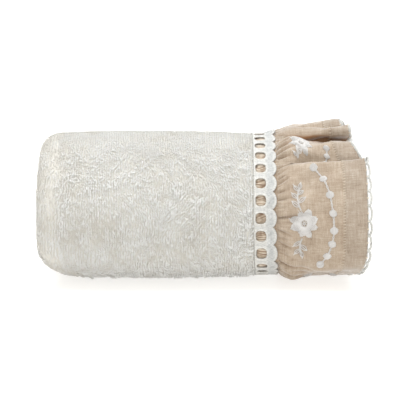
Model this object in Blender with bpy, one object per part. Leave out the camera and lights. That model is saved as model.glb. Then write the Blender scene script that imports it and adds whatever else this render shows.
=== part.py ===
"""Rolled hand towel: a plush terry panel folded in four and wound up, with a
scalloped eyelet tape over the seam and a gathered linen frill with a picot edge.

Millimetres in the tables, metres in the meshes.  +X runs along the roll towards
the frill, -Y is the front and +Z is up.  Angles run round the roll from the front
(0) over the top (90) to the back (180) and on inwards along the winding.
"""

import math

import bpy
import bmesh

MM = 0.001

# ---- driving sizes, in millimetres -------------------------------------------
TOWEL_WIDTH = 516.0      # side edge to side edge, the length that is wound up
STACK = 28.8             # pitch of the winding: four layers of plush terry
TURN_GAP = 0.8           # air between one turn and the next
ROLL_RADIUS = 78.6       # outer surface at the loose edge, before it settles
LOOSE_EDGE = -112.4      # angle of the loose side edge, tucked under the back
DEPTH_STRETCH = 1.25     # the settled roll is deeper than it is high
SQUASH = 13.2            # how far its weight lowers it
SQUASH_REACH = 55.0      # height up to which the roll is squashed
FLAT_DEPTH = 2.2         # how much of the underside is pressed quite flat
SAG = 0.10               # share by which the lower sides bulge
SAG_HEIGHT = 25.0
SAG_WIDTH = 15.6
MIDDLE = 1.02            # the middle of the roll is a little fatter
BULGE = 0.04             # share by which its ends are slimmer than its middle

ROLL_LEFT = -146.8       # apex of the outer fold at the left end
ROLL_RIGHT = 57.0        # sewn edge of the terry, hidden below the tape
FOLD_DEPTH = 17.0        # how far the rounding of the fold runs along the roll
UNDER_TAPE = 3.8         # how far the pile is pressed down below the tape

TAPE_LEFT = 42.7         # left edge of the tape
TAPE_VALLEY = 17.0       # width of the tape at a scallop's valley
TAPE_PEAK = 19.8         # width of the tape at a scallop's peak
TAPE_TOP = 0.6           # outer face, below the full surface of the pile
TAPE_THICK = 1.2
EYELET_PITCH = 16.1
EYELET_FROM_EDGE = 5.9   # eyelet centre from the tape's left edge
EYELET_ALONG = 8.6       # eyelet size along the roll
EYELET_ROUND = 11.3      # eyelet size round the roll

CLEAR = 0.3              # clearance between sewn pieces
LINEN_THICK = 1.2
HEAD_LEFT = 2.2          # start of the frill's head, from the tape's left edge
FRILL_START = 20.5       # where the frill comes out from under the tape
FULLNESS = 1.9           # how quickly the folds rise between the tape and the edge
LEAN = 1.15              # how quickly they lean over to one side
EDGING_WIDTH = 3.5
EDGING_THICK = 1.2
HEAD_BELOW = TAPE_TOP + TAPE_THICK + CLEAR + LINEN_THICK / 2
LOWEST = 0.9             # middle of the cloth where it lies on the surface

# How far the tape wanders along the roll, by angle: it is sewn a little askew.
#         angle   shift
TAPE_WANDER = (
    (-112.4, 3.0),
    (-76.0, 2.9),
    (-52.0, 2.5),
    (-26.0, 0.9),
    (0.0, 0.0),
    (90.0, 0.4),
    (250.0, 0.0),
    (400.0, 0.0),
)

# The frill's free edge, a row for each fold: the angle at which the fold starts
# from the tape, the angle and the height off the roll's surface at the free edge,
# and how far along the roll the edge reaches.
#   fold                 tape    edge    off      x
EDGE_FOLDS = (
    ("loose side hem",  -112.4, -111.0,  -1.5,  139.0),
    ("low wave",         -96.0,  -96.0,  -3.0,  139.5),
    ("meets the floor",  -80.0,  -80.0,  -1.0,  138.0),
    ("turns up",         -62.0,  -62.0,   2.5,  138.5),
    ("lower front",      -44.0,  -44.0,   3.0,  140.5),
    ("front",            -26.0,  -26.0,   2.5,  141.2),
    ("front",             -8.0,   -8.0,   4.5,  141.4),
    ("front",             10.0,   11.0,   4.5,  141.3),
    ("upper front",       24.0,   27.0,   4.5,  141.0),
    ("upper front",       33.0,   39.0,   5.0,  140.4),
    ("first fold edge",   39.5,   46.5,   5.0,  138.4),
    ("turns under",       42.0,   46.5,   1.5,  138.0),
    ("under the front",   44.0,   40.0,  -1.0,  139.0),
    ("inner fold",        45.5,   35.5,  -3.5,  139.5),
    ("second panel",      47.0,   38.0,  -6.5,  139.5),
    ("second panel",      50.5,   46.5,  -5.0,  138.0),
    ("second panel",      56.0,   56.5,  -1.0,  133.5),
    ("ridge",             62.0,   65.5,   0.8,  130.5),
    ("falls away",        66.5,   73.0,  -3.5,  129.0),
    ("falls away",        69.5,   81.0,  -9.0,  128.0),
    ("deep valley",       72.5,   87.5, -10.5,  127.5),
    ("comes forward",     75.5,   85.5,  -5.0,  127.5),
    ("comes forward",     78.5,   77.0,   0.8,  129.0),
    ("front of pleat",    81.5,   72.3,   5.0,  131.0),
    ("front of pleat",    85.0,   75.0,   9.0,  131.5),
    ("second fold edge",  88.5,   80.5,  10.2,  130.0),
    ("tucks in",          91.0,   84.5,   6.5,  128.0),
    ("tucks in",          93.0,   88.0,   1.0,  127.5),
    ("behind the pleat",  95.0,   91.0,   4.0,  127.0),
    ("back crest",       100.0,   98.0,  11.0,  127.0),
    ("back crest",       108.0,  107.0,  10.5,  129.5),
    ("falls back",       119.0,  119.0,   4.0,  133.5),
    ("back valley",      130.0,  130.0,   0.5,  137.0),
)

# From here on the folds are soft ripples round the roll: how far each ridge or
# valley stands off the roll, and how far it reaches along it.
#   fold          angle   off      x
RIPPLES = (
    ("back",       142.0,   7.5,  139.5),
    ("back",       155.0,   1.0,  140.5),
    ("back",       169.0,   8.0,  140.8),
    ("back",       184.0,   1.0,  140.5),
    ("back",       200.0,   6.5,  139.5),
    ("low back",   217.0,  -0.5,  138.0),
    ("low back",   236.0,   2.5,  137.5),
    ("inner",      256.0,  -1.5,  137.5),
    ("inner",      274.0,   2.5,  138.5),
    ("inner",      290.0,  -2.0,  139.0),
)

TIGHT = (10, 12, 13, 19, 22, 25)   # folds whose turn is tight: finer mesh

# Places along the frill where rows of the mesh run, as shares of the way from
# the tape to the free edge.
FRILL_ROWS = (0.0, 0.1, 0.24, 0.42, 0.62, 0.82, 1.0)


# ---- the winding ---------------------------------------------------------------
def wound_radius(angle):
    return ROLL_RADIUS - STACK * (angle - LOOSE_EDGE) / 360.0


def slimness(x):
    return MIDDLE - BULGE * min(1.0, abs(x + 50.0) / 95.0) ** 2.2


def settled(angle, r):
    """Where a point of the round winding comes to lie when the roll settles: its
    lower half is squashed and its lower sides bulge."""
    a = math.radians(angle)
    height = wound_radius(-90.0) + r * math.sin(a)
    z = height - SQUASH + (SQUASH - FLAT_DEPTH) * max(
        0.0, 1.0 - height / SQUASH_REACH) ** 2
    swell = 1.0 + SAG * math.exp(-((z - SAG_HEIGHT) / SAG_WIDTH) ** 2)
    return -DEPTH_STRETCH * r * math.cos(a) * swell, z


def pressed(z):
    """The underside is pressed flat on the surface, with a soft corner."""
    soft = 0.5 * (z + math.sqrt(z * z + 4.0)) - 0.42 * math.exp(-(z + 2.0) / 6.0)
    return max(soft, 0.0)


def outermost(angle, r):
    y, z = settled(angle, r)
    return y, pressed(z)


def surface(angle, x=0.0, below=0.0):
    """A point (y, z) of the winding, a distance below the outer surface of its
    turn."""
    r = wound_radius(angle) * slimness(x)
    y, z = outermost(angle, r)
    if not below:
        return y, z
    y0, z0 = outermost(angle - 0.5, r)
    y1, z1 = outermost(angle + 0.5, r)
    ty, tz = y1 - y0, z1 - z0
    size = math.hypot(ty, tz)
    # The inward normal lies to the right of the way round.
    return y + below * tz / size, z - below * ty / size


def angle_after(length, below):
    """The angle that a layer of this length reaches, a distance below the surface."""
    angle, left = LOOSE_EDGE, length
    y0, z0 = surface(angle, 0.0, below)
    while True:
        y1, z1 = surface(angle + 0.5, 0.0, below)
        step = math.hypot(y1 - y0, z1 - z0)
        if step >= left:
            return angle + 0.5 * left / step
        left -= step
        angle += 0.5
        y0, z0 = y1, z1


def read_off(rows, angle):
    for (a0, v0), (a1, v1) in zip(rows, rows[1:]):
        if angle <= a1:
            t = max(0.0, (angle - a0) / (a1 - a0))
            return v0 + (v1 - v0) * t * t * (3 - 2 * t)
    return rows[-1][1]


def tape_edge(angle):
    return TAPE_LEFT + read_off(TAPE_WANDER, angle)


# ---- meshes ----------------------------------------------------------------------
def new_object(name, verts, faces, colour, roughness, metallic=0.0):
    mesh = bpy.data.meshes.new(name)
    mesh.from_pydata([(x * MM, y * MM, z * MM) for x, y, z in verts], [], faces)
    bm = bmesh.new()
    bm.from_mesh(mesh)
    bmesh.ops.triangulate(bm, faces=bm.faces[:])
    bmesh.ops.recalc_face_normals(bm, faces=bm.faces[:])
    if bm.calc_volume(signed=True) < 0:
        bmesh.ops.reverse_faces(bm, faces=bm.faces[:])
    bm.to_mesh(mesh)
    bm.free()
    mesh.shade_smooth()
    mesh.set_sharp_from_angle(angle=math.radians(40))
    mat = bpy.data.materials.new(name + "_mat")
    mat.use_nodes = True
    shader = mat.node_tree.nodes["Principled BSDF"]
    shader.inputs["Base Color"].default_value = (*colour, 1.0)
    shader.inputs["Roughness"].default_value = roughness
    shader.inputs["Metallic"].default_value = metallic
    mesh.materials.append(mat)
    obj = bpy.data.objects.new(name, mesh)
    bpy.context.scene.collection.objects.link(obj)
    return obj


def tube(rings):
    """A closed body through equal rings of points, capped at both ends."""
    count = len(rings[0])
    verts = [p for ring in rings for p in ring]
    faces = []
    for i in range(len(rings) - 1):
        for j in range(count):
            k = (j + 1) % count
            faces.append((i * count + j, i * count + k,
                          (i + 1) * count + k, (i + 1) * count + j))
    for start in (0, (len(rings) - 1) * count):
        ring = verts[start:start + count]
        middle = [sum(c) / count for c in zip(*ring)]
        verts.append(tuple(middle))
        last = len(verts) - 1
        for j in range(count):
            faces.append((start + j, start + (j + 1) % count, last))
    return verts, faces


def sheet(grid, normals, thick):
    """A closed thin body on both sides of a grid of points."""
    rows, cols = len(grid), len(grid[0])
    verts = []
    for side in (0.5, -0.5):
        for i in range(rows):
            for j in range(cols):
                verts.append(tuple(c + side * thick * n
                                   for c, n in zip(grid[i][j], normals[i][j])))
    half = rows * cols
    at = lambda i, j, s: s * half + i * cols + j
    faces = []
    for s in (0, 1):
        for i in range(rows - 1):
            for j in range(cols - 1):
                faces.append((at(i, j, s), at(i + 1, j, s),
                              at(i + 1, j + 1, s), at(i, j + 1, s)))
    for i in range(rows - 1):
        for j in (0, cols - 1):
            faces.append((at(i, j, 0), at(i + 1, j, 0), at(i + 1, j, 1), at(i, j, 1)))
    for j in range(cols - 1):
        for i in (0, rows - 1):
            faces.append((at(i, j, 0), at(i, j + 1, 0), at(i, j + 1, 1), at(i, j, 1)))
    return verts, faces


def unit(v):
    size = math.sqrt(sum(c * c for c in v)) or 1.0
    return tuple(c / size for c in v)


def cross(a, b):
    return (a[1] * b[2] - a[2] * b[1], a[2] * b[0] - a[0] * b[2],
            a[0] * b[1] - a[1] * b[0])


def grid_normals(grid):
    rows, cols = len(grid), len(grid[0])
    out = []
    for i in range(rows):
        line = []
        for j in range(cols):
            a = grid[max(i - 1, 0)][j]
            b = grid[min(i + 1, rows - 1)][j]
            c = grid[i][max(j - 1, 0)]
            d = grid[i][min(j + 1, cols - 1)]
            u = tuple(q - p for p, q in zip(a, b))
            v = tuple(q - p for p, q in zip(c, d))
            line.append(unit(cross(u, v)))
        out.append(line)
    return out


# ---- the terry roll ----------------------------------------------------------------
def build_roll():
    depth = STACK - TURN_GAP
    last = angle_after(TOWEL_WIDTH, depth / 2)
    count = 72
    rings = []
    for i in range(count + 1):
        angle = LOOSE_EDGE + (last - LOOSE_EDGE) * i / count
        turn = (angle - LOOSE_EDGE) / 360.0
        # the ends of the turns are a little out of line, as in any rolled towel
        left = (ROLL_LEFT + 1.6 * (1 - math.cos(math.radians(angle - 10.0)))
                + (4.0 * (turn - 1.0) if turn > 1.0 else 0.0))
        right = ROLL_RIGHT + read_off(TAPE_WANDER, angle) * 0.5
        # rounded side edges of the towel at both ends of the winding
        ends = min(i, count - i)
        pinch = 2.4 if ends == 0 else 0.0
        outline = []

        def add(x, below):
            outer = below <= UNDER_TAPE
            below = pinch + below * (depth - 2 * pinch) / depth
            outline.append((x, below, outer))

        for x in (-92.0, -40.0, 10.0, 36.0):
            add(x, 0.0)
        add(TAPE_LEFT - 1.0 + read_off(TAPE_WANDER, angle), UNDER_TAPE)
        add(right - 2.5, UNDER_TAPE)
        add(right, UNDER_TAPE + 2.5)
        add(right, depth - 2.5)
        add(right - 2.5, depth)
        for x in (10.0, -60.0):
            add(x, depth)
        for k in range(9):
            t = math.pi * k / 8
            add(left + FOLD_DEPTH * (1 - math.sin(t)),
                depth / 2 * (1 + math.cos(t)))
        ring = []
        for x, below, outer in outline:
            if outer:
                y, z = surface(angle, x, below)
            else:
                # the pressing of the underside fades out through the stack
                y0, z0 = surface(angle, x)
                y1, z1 = settled(angle, (wound_radius(angle) - depth) * slimness(x))
                y = y0 + (y1 - y0) * below / depth
                z = z0 + (z1 - z0) * below / depth
            ring.append((x, y, z))
        rings.append(ring)
    verts, faces = tube(rings)
    return new_object("terry_roll", verts, faces, (0.80, 0.78, 0.73), 0.95)


# ---- the eyelet tape -----------------------------------------------------------------
def build_tape():
    below = TAPE_TOP + TAPE_THICK / 2
    cells = int(TOWEL_WIDTH / EYELET_PITCH)
    # angles at every half pitch, read from the length wound so far
    half = EYELET_PITCH / 2
    rise = TAPE_PEAK - TAPE_VALLEY
    scallop = lambda s: TAPE_VALLEY + rise * math.sqrt(
        max(0.0, 1 - ((half - abs(s)) / half) ** 2))
    # outline of one cell, anticlockwise: (distance from the left edge, round)
    rim = [(scallop(s), s) for s in (-half, -1.6, 0.0, 1.6, half)]
    rim += [(EYELET_FROM_EDGE + 4.4, half), (EYELET_FROM_EDGE - 1.6, half),
            (0.0, half), (0.0, 0.0), (0.0, -half),
            (EYELET_FROM_EDGE - 1.6, -half), (EYELET_FROM_EDGE + 4.4, -half)]
    hole = []
    for x, s in rim:
        a = math.atan2(s / EYELET_ROUND, (x - EYELET_FROM_EDGE) / EYELET_ALONG)
        hole.append((EYELET_FROM_EDGE + EYELET_ALONG / 2 * math.cos(a),
                     EYELET_ROUND / 2 * math.sin(a)))
    verts, index, faces = [], {}, []
    angles = {}

    def angle_at(length):
        key = round(length, 3)
        if key not in angles:
            angles[key] = angle_after(length, below)
        return angles[key]

    def vertex(x, length, side):
        key = (round(x, 3), round(length, 3), side)
        if key not in index:
            angle = angle_at(length)
            y, z = surface(angle, TAPE_LEFT, TAPE_TOP + side * TAPE_THICK)
            index[key] = len(verts)
            verts.append((tape_edge(angle) + x, y, z))
        return index[key]

    n = len(rim)
    for cell in range(cells):
        middle = (cell + 0.5) * EYELET_PITCH
        for side in (0, 1):
            for k in range(n):
                m = (k + 1) % n
                faces.append([vertex(x, middle + s, side) for x, s in
                              (rim[k], rim[m], hole[m], hole[k])])
        for k in range(n):
            m = (k + 1) % n
            faces.append([vertex(hole[k][0], middle + hole[k][1], 0),
                          vertex(hole[m][0], middle + hole[m][1], 0),
                          vertex(hole[m][0], middle + hole[m][1], 1),
                          vertex(hole[k][0], middle + hole[k][1], 1)])
            on_end = abs(abs(rim[k][1]) - half) < 1e-6 and rim[k][1] == rim[m][1]
            first = cell == 0 and rim[k][1] < 0
            final = cell == cells - 1 and rim[k][1] > 0
            if not on_end or first or final:
                faces.append([vertex(rim[k][0], middle + rim[k][1], 0),
                              vertex(rim[m][0], middle + rim[m][1], 0),
                              vertex(rim[m][0], middle + rim[m][1], 1),
                              vertex(rim[k][0], middle + rim[k][1], 1)])
    return new_object("eyelet_tape", verts, faces, (0.78, 0.80, 0.80), 0.7)


# ---- the linen frill -------------------------------------------------------------------
def edge_rows():
    """All folds of the free edge as (tape angle, edge angle, height off, reach)."""
    rows = [row[1:] for row in EDGE_FOLDS]
    rows += [(angle, angle, off, x) for _, angle, off, x in RIPPLES]
    last = angle_after(TOWEL_WIDTH, 3.0)
    rows.append((last, last, -0.5, 137.5))
    return rows


def frill_point(tape, edge, off, x1, v):
    """The middle of the cloth, a share v of the way from the tape to the edge."""
    x0 = tape_edge(tape) + FRILL_START
    angle = tape + (edge - tape) * (1 - (1 - v) ** LEAN)
    free = 1 - (1 - v) ** FULLNESS
    y, z = outermost(angle, wound_radius(angle) * slimness(TAPE_LEFT) + off * free)
    y0, z0 = surface(angle, TAPE_LEFT)
    y1, z1 = surface(angle, TAPE_LEFT, HEAD_BELOW)
    y, z = y + (y1 - y0) * (1 - free), z + (z1 - z0) * (1 - free)
    return x0 + (x1 - x0) * v, y, max(z, LOWEST)


def through(rows, places, k, t):
    """A smooth curve through the rows, by how far apart they lie at the edge."""
    n = len(rows)
    pick = [max(0, min(n - 1, k + i)) for i in (-1, 0, 1, 2)]

    def gap(i, j):
        return math.sqrt(math.dist(places[i], places[j])) or 1.0

    d0, d1, d2 = (gap(pick[i], pick[i + 1]) for i in range(3))
    out = []
    for c in range(4):
        v0, v1, v2, v3 = (rows[i][c] for i in pick)
        m1 = (v1 - v0) / d0 - (v2 - v0) / (d0 + d1) + (v2 - v1) / d1
        m2 = (v2 - v1) / d1 - (v3 - v1) / (d1 + d2) + (v3 - v2) / d2
        if k == 0:
            m1 = (v2 - v1) / d1
        if k == n - 2:
            m2 = (v2 - v1) / d1
        m1, m2 = m1 * d1, m2 * d1
        if c == 0:  # the tape angle only goes forward
            top = 3.0 * (v2 - v1)
            m1, m2 = max(0.0, min(m1, top)), max(0.0, min(m2, top))
        a, b = 2 * (v1 - v2) + m1 + m2, -3 * (v1 - v2) - 2 * m1 - m2
        out.append(((a * t + b) * t + m1) * t + v1)
    return out


def frill_lines():
    """The lines of the mesh across the frill, each a row of its own."""
    rows = edge_rows()
    places = [frill_point(*row, 1.0)[1:] for row in rows]
    lines = []
    for k in range(len(rows) - 1):
        parts = max(3 if k in TIGHT else 2, round(math.dist(*places[k:k + 2]) / 7.5))
        lines += [through(rows, places, k, t / parts) for t in range(parts)]
    lines.append(rows[-1])
    return lines


def build_frill():
    grid = []
    for row in frill_lines():
        y0, z0 = surface(row[0], TAPE_LEFT, HEAD_BELOW)
        line = [(tape_edge(row[0]) + HEAD_LEFT, y0, z0)]
        line += [frill_point(*row, v) for v in FRILL_ROWS]
        grid.append(line)
    normals = grid_normals(grid)
    verts, faces = sheet(grid, normals, LINEN_THICK)
    frill = new_object("linen_ruffle", verts, faces, (0.62, 0.49, 0.36), 0.85)

    strip = []
    for line, normal in zip(grid, normals):
        x, y, z = line[-1]
        strip.append([(x + CLEAR, y, z), (x + CLEAR + EDGING_WIDTH, y, z)])
    flat = [[(0.0, n[-1][1], n[-1][2])] * 2 for n in normals]
    flat = [[unit(n) for n in line] for line in flat]
    verts, faces = sheet(strip, flat, EDGING_THICK)
    edging = new_object("lace_edging", verts, faces, (0.80, 0.76, 0.68), 0.75)
    return frill, edging


# ---- the model ---------------------------------------------------------------------------
for old in list(bpy.data.objects):
    bpy.data.objects.remove(old, do_unlink=True)

pieces = [build_roll(), build_tape(), *build_frill()]

# The origin is the middle of the underside of the whole.
corners = [v.co for p in pieces for v in p.data.vertices]
low = [min(c[i] for c in corners) for i in range(3)]
high = [max(c[i] for c in corners) for i in range(3)]
shift = [-(low[0] + high[0]) / 2, -(low[1] + high[1]) / 2, -low[2]]
for piece in pieces:
    for v in piece.data.vertices:
        v.co = [c + s for c, s in zip(v.co, shift)]
    piece.data.update()
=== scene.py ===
"""Rolled hand towel: the visual model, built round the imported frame.

Tables are in millimetres before the origin was moved, as in the solids' own source;
meshes are in metres in the row's frame.  +X runs along the roll towards the frill,
-Y is the front, +Z is up.  Angles run round the roll from the front (0) over the top
(90) to the back (180) and on inwards along the winding.
"""
import math

import bpy
import numpy as np
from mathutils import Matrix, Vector


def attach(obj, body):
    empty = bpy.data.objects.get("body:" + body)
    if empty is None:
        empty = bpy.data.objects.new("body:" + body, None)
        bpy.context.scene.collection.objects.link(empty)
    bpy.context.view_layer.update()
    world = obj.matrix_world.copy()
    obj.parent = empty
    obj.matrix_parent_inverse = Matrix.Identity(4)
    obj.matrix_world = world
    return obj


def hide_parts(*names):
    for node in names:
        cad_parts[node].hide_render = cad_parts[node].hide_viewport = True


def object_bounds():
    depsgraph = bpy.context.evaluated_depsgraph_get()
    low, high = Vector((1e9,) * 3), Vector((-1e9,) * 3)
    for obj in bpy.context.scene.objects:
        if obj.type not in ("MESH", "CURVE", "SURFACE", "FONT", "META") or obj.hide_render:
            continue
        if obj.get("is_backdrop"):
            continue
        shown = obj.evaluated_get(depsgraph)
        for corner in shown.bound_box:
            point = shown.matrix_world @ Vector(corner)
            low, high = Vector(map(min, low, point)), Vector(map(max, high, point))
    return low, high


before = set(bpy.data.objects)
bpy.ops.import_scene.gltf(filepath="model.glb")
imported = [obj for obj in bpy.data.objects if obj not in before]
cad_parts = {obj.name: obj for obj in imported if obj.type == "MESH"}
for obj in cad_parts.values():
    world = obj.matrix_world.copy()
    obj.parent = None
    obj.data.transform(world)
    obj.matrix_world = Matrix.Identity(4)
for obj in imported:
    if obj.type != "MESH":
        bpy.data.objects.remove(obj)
cad_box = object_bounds()

MM = 0.001
SHIFT = np.array([0.80, 7.02, 0.0])
rng = np.random.default_rng(20240611)

# ---- sizes shared with the solids ---------------------------------------------------
TOWEL_WIDTH = 516.0
STACK = 28.8
TURN_GAP = 0.8
ROLL_RADIUS = 78.6
LOOSE_EDGE = -112.4
DEPTH_STRETCH = 1.25
SQUASH = 13.2
SQUASH_REACH = 55.0
FLAT_DEPTH = 2.2
SAG = 0.10
SAG_HEIGHT = 25.0
SAG_WIDTH = 15.6
MIDDLE = 1.02
BULGE = 0.04
ROLL_LEFT = -146.8
ROLL_RIGHT = 57.0
FOLD_DEPTH = 17.0
TAPE_LEFT = 42.7
TAPE_VALLEY = 17.0
TAPE_PEAK = 19.8
TAPE_TOP = 0.6
TAPE_THICK = 1.2
EYELET_PITCH = 16.1
EYELET_FROM_EDGE = 5.9
EYELET_ALONG = 8.6
EYELET_ROUND = 11.3
LINEN_THICK = 1.2
HEAD_LEFT = 2.2
FRILL_START = 20.5
FULLNESS = 1.9
LEAN = 1.15
HEAD_BELOW = 2.7
LOWEST = 0.9

TAPE_WANDER = (
    (-112.4, 3.0),
    (-76.0, 2.9),
    (-52.0, 2.5),
    (-26.0, 0.9),
    (0.0, 0.0),
    (90.0, 0.4),
    (250.0, 0.0),
    (400.0, 0.0),
)

#   fold                 tape    edge    off      x
EDGE_FOLDS = (
    ("loose side hem",  -112.4, -111.0,  -1.5,  139.0),
    ("low wave",         -96.0,  -96.0,  -3.0,  139.5),
    ("meets the floor",  -80.0,  -80.0,  -1.0,  125.5),
    ("turns up",         -62.0,  -62.0,   2.5,  128.5),
    ("lower front",      -44.0,  -44.0,   3.0,  135.8),
    ("front",            -26.0,  -26.0,   2.5,  140.6),
    ("front",             -8.0,   -8.0,   4.5,  141.4),
    ("front",             10.0,   11.0,   4.5,  141.3),
    ("upper front",       24.0,   27.0,   4.5,  141.0),
    ("upper front",       33.0,   39.0,   5.0,  140.4),
    ("first fold edge",   39.5,   46.5,   5.0,  139.3),
    ("turns under",       42.0,   46.5,   1.5,  138.6),
    ("under the front",   44.0,   40.0,  -1.0,  139.0),
    ("inner fold",        45.5,   35.5,  -3.5,  139.5),
    ("second panel",      47.0,   38.0,  -6.5,  139.5),
    ("second panel",      50.5,   46.5,  -5.0,  138.5),
    ("second panel",      56.0,   56.5,  -1.0,  134.0),
    ("ridge",             62.0,   65.5,   0.8,  129.3),
    ("falls away",        66.5,   73.0,  -3.0,  126.0),
    ("falls away",        69.5,   80.5,  -7.2,  125.5),
    ("deep valley",       72.5,   86.5,  -8.6,  126.0),
    ("comes forward",     75.5,   85.5,  -5.0,  127.5),
    ("comes forward",     78.5,   80.5,  -0.6,  129.0),
    ("front of pleat",    81.5,   76.3,   4.2,  128.5),
    ("front of pleat",    85.0,   76.6,   8.6,  128.0),
    ("second fold edge",  88.5,   80.5,  10.2,  126.5),
    ("tucks in",          91.0,   84.5,   6.5,  124.5),
    ("tucks in",          93.0,   88.0,   1.0,  123.5),
    ("behind the pleat",  95.0,   91.0,   4.0,  122.5),
    ("back crest",       100.0,   98.0,  10.5,  120.5),
    ("back crest",       108.0,  107.0,   9.8,  122.5),
    ("falls back",       119.0,  119.0,   4.0,  130.0),
    ("back valley",      130.0,  130.0,   0.5,  132.0),
)
RIPPLES = (
    ("back",       142.0,   7.5,  133.5),
    ("back",       155.0,   1.0,  137.5),
    ("back",       169.0,   8.0,  139.8),
    ("back",       184.0,   1.0,  140.5),
    ("back",       200.0,   6.5,  139.5),
    ("low back",   217.0,  -0.5,  138.0),
    ("low back",   236.0,   2.5,  137.5),
    ("inner",      256.0,  -1.5,  137.5),
    ("inner",      274.0,   2.5,  138.5),
    ("inner",      290.0,  -2.0,  139.0),
)


# ---- the winding -----------------------------------------------------------------------
def wound_radius(angle):
    return ROLL_RADIUS - STACK * (angle - LOOSE_EDGE) / 360.0


def slimness(x):
    return MIDDLE - BULGE * np.minimum(1.0, np.abs(x + 50.0) / 95.0) ** 2.2


def settled(angle, r):
    a = np.radians(angle)
    height = wound_radius(-90.0) + r * np.sin(a)
    z = height - SQUASH + (SQUASH - FLAT_DEPTH) * np.maximum(
        0.0, 1.0 - height / SQUASH_REACH) ** 2
    swell = 1.0 + SAG * np.exp(-((z - SAG_HEIGHT) / SAG_WIDTH) ** 2)
    return -DEPTH_STRETCH * r * np.cos(a) * swell, z


def outermost(angle, r):
    y, z = settled(angle, r)
    soft = 0.5 * (z + np.sqrt(z * z + 4.0)) - 0.42 * np.exp(-(z + 2.0) / 6.0)
    return y, np.maximum(soft, 0.0)


def outward(angle, x):
    """The outward normal (y, z) of the winding's outer surface."""
    r = wound_radius(angle) * slimness(x)
    y0, z0 = outermost(angle - 0.5, r)
    y1, z1 = outermost(angle + 0.5, r)
    ty, tz = y1 - y0, z1 - z0
    size = np.hypot(ty, tz)
    return -tz / size, ty / size


def surface(angle, x, below):
    y, z = outermost(angle, wound_radius(angle) * slimness(x))
    ny, nz = outward(angle, x)
    return y - below * ny, z - below * nz


def inside(angle, x, below):
    """A point inside the stack: near the outer face it keeps its true depth, and
    deeper down it follows the stack's squashed thickness."""
    depth = STACK - TURN_GAP
    y0, z0 = surface(angle, x, 0.0)
    y1, z1 = settled(angle, (wound_radius(angle) - depth) * slimness(x))
    yd, zd = y0 + (y1 - y0) * below / depth, z0 + (z1 - z0) * below / depth
    ys, zs = surface(angle, x, below)
    w = ease((below - 3.5) / 5.0)
    return ys + (yd - ys) * w, zs + (zd - zs) * w


def ease(t):
    t = np.clip(t, 0.0, 1.0)
    return t * t * (3 - 2 * t)


def read_off(rows, angle):
    angle = np.asarray(angle, float)
    out = np.full(angle.shape, rows[-1][1])
    for (a0, v0), (a1, v1) in reversed(list(zip(rows, rows[1:]))):
        t = np.clip((angle - a0) / (a1 - a0), 0.0, 1.0)
        out = np.where(angle <= a1, v0 + (v1 - v0) * t * t * (3 - 2 * t), out)
    return out


def tape_edge(angle):
    return TAPE_LEFT + read_off(TAPE_WANDER, angle)


def flare(angle, x):
    """How far the tape's scallops stand up over the top, with the frill under them."""
    over = ease((angle - 76.0) / 14.0) * (1 - ease((angle - 116.0) / 16.0))
    return 3.2 * over * ease((x - 8.0) / 10.5)


FINE = np.arange(LOOSE_EDGE, 600.0, 0.25)


def length_table(below):
    y, z = surface(FINE, 0.0, below)
    return np.concatenate([[0.0], np.cumsum(np.hypot(np.diff(y), np.diff(z)))])


TAPE_LENGTHS = length_table(TAPE_TOP + TAPE_THICK / 2)


def angle_after(length, table=TAPE_LENGTHS):
    return np.interp(length, table, FINE)


def length_at(angle, table=TAPE_LENGTHS):
    return np.interp(angle, FINE, table)


# ---- meshes and materials ----------------------------------------------------------------
def build(name, co, faces, material, uv=None, smooth=True, extra=None):
    """A mesh from points in millimetres and equal-sided faces."""
    co = (np.asarray(co, float) + SHIFT) * MM
    groups = faces if isinstance(faces, list) else [faces]
    groups = [np.asarray(g, np.int32) for g in groups if len(g)]
    loops = np.concatenate([g.ravel() for g in groups])
    starts, at = [], 0
    for g in groups:
        starts.append(at + np.arange(len(g)) * g.shape[1])
        at += g.size
    me = bpy.data.meshes.new(name)
    me.vertices.add(len(co))
    me.vertices.foreach_set("co", co.astype(np.float32).ravel())
    me.loops.add(len(loops))
    me.loops.foreach_set("vertex_index", loops.astype(np.int32))
    starts = np.concatenate(starts).astype(np.int32)
    me.polygons.add(len(starts))
    me.polygons.foreach_set("loop_start", starts)
    me.update(calc_edges=True)
    if uv is not None:
        layer = me.uv_layers.new(name="weave")
        layer.data.foreach_set("uv", np.asarray(uv, np.float32)[loops].ravel())
    for key, values in (extra or {}).items():
        own = me.attributes.new(key, "FLOAT", "POINT")
        own.data.foreach_set("value", np.asarray(values, np.float32).ravel())
    me.validate()
    if smooth:
        me.shade_smooth()
    me.materials.append(material)
    obj = bpy.data.objects.new(name, me)
    bpy.context.scene.collection.objects.link(obj)
    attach(obj, "root")
    return obj


def grid_faces(rows, cols, start=0, flip=False, wrap=False):
    i = np.arange(rows - 1)[:, None]
    j = np.arange(cols if wrap else cols - 1)[None, :]
    k = (j + 1) % cols
    a, b = i * cols + j, (i + 1) * cols + j
    c, d = (i + 1) * cols + k, i * cols + k
    quads = np.stack([a, b, c, d], -1).reshape(-1, 4) + start
    return quads[:, ::-1] if flip else quads


def cloth_body(outer, inner):
    """Points and quads of a closed thin sheet from its two faces."""
    rows, cols = outer.shape[:2]
    co = np.concatenate([outer.reshape(-1, 3), inner.reshape(-1, 3)])
    n = rows * cols
    faces = [grid_faces(rows, cols), grid_faces(rows, cols, n, flip=True)]
    i = np.arange(rows - 1)
    for j, turn in ((0, True), (cols - 1, False)):
        q = np.stack([i * cols + j, (i + 1) * cols + j,
                      (i + 1) * cols + j + n, i * cols + j + n], -1)
        faces.append(q if turn else q[:, ::-1])
    j = np.arange(cols - 1)
    for i, turn in ((0, False), (rows - 1, True)):
        q = np.stack([i * cols + j, i * cols + j + 1,
                      i * cols + j + 1 + n, i * cols + j + n], -1)
        faces.append(q if turn else q[:, ::-1])
    return co, np.concatenate(faces)


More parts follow.
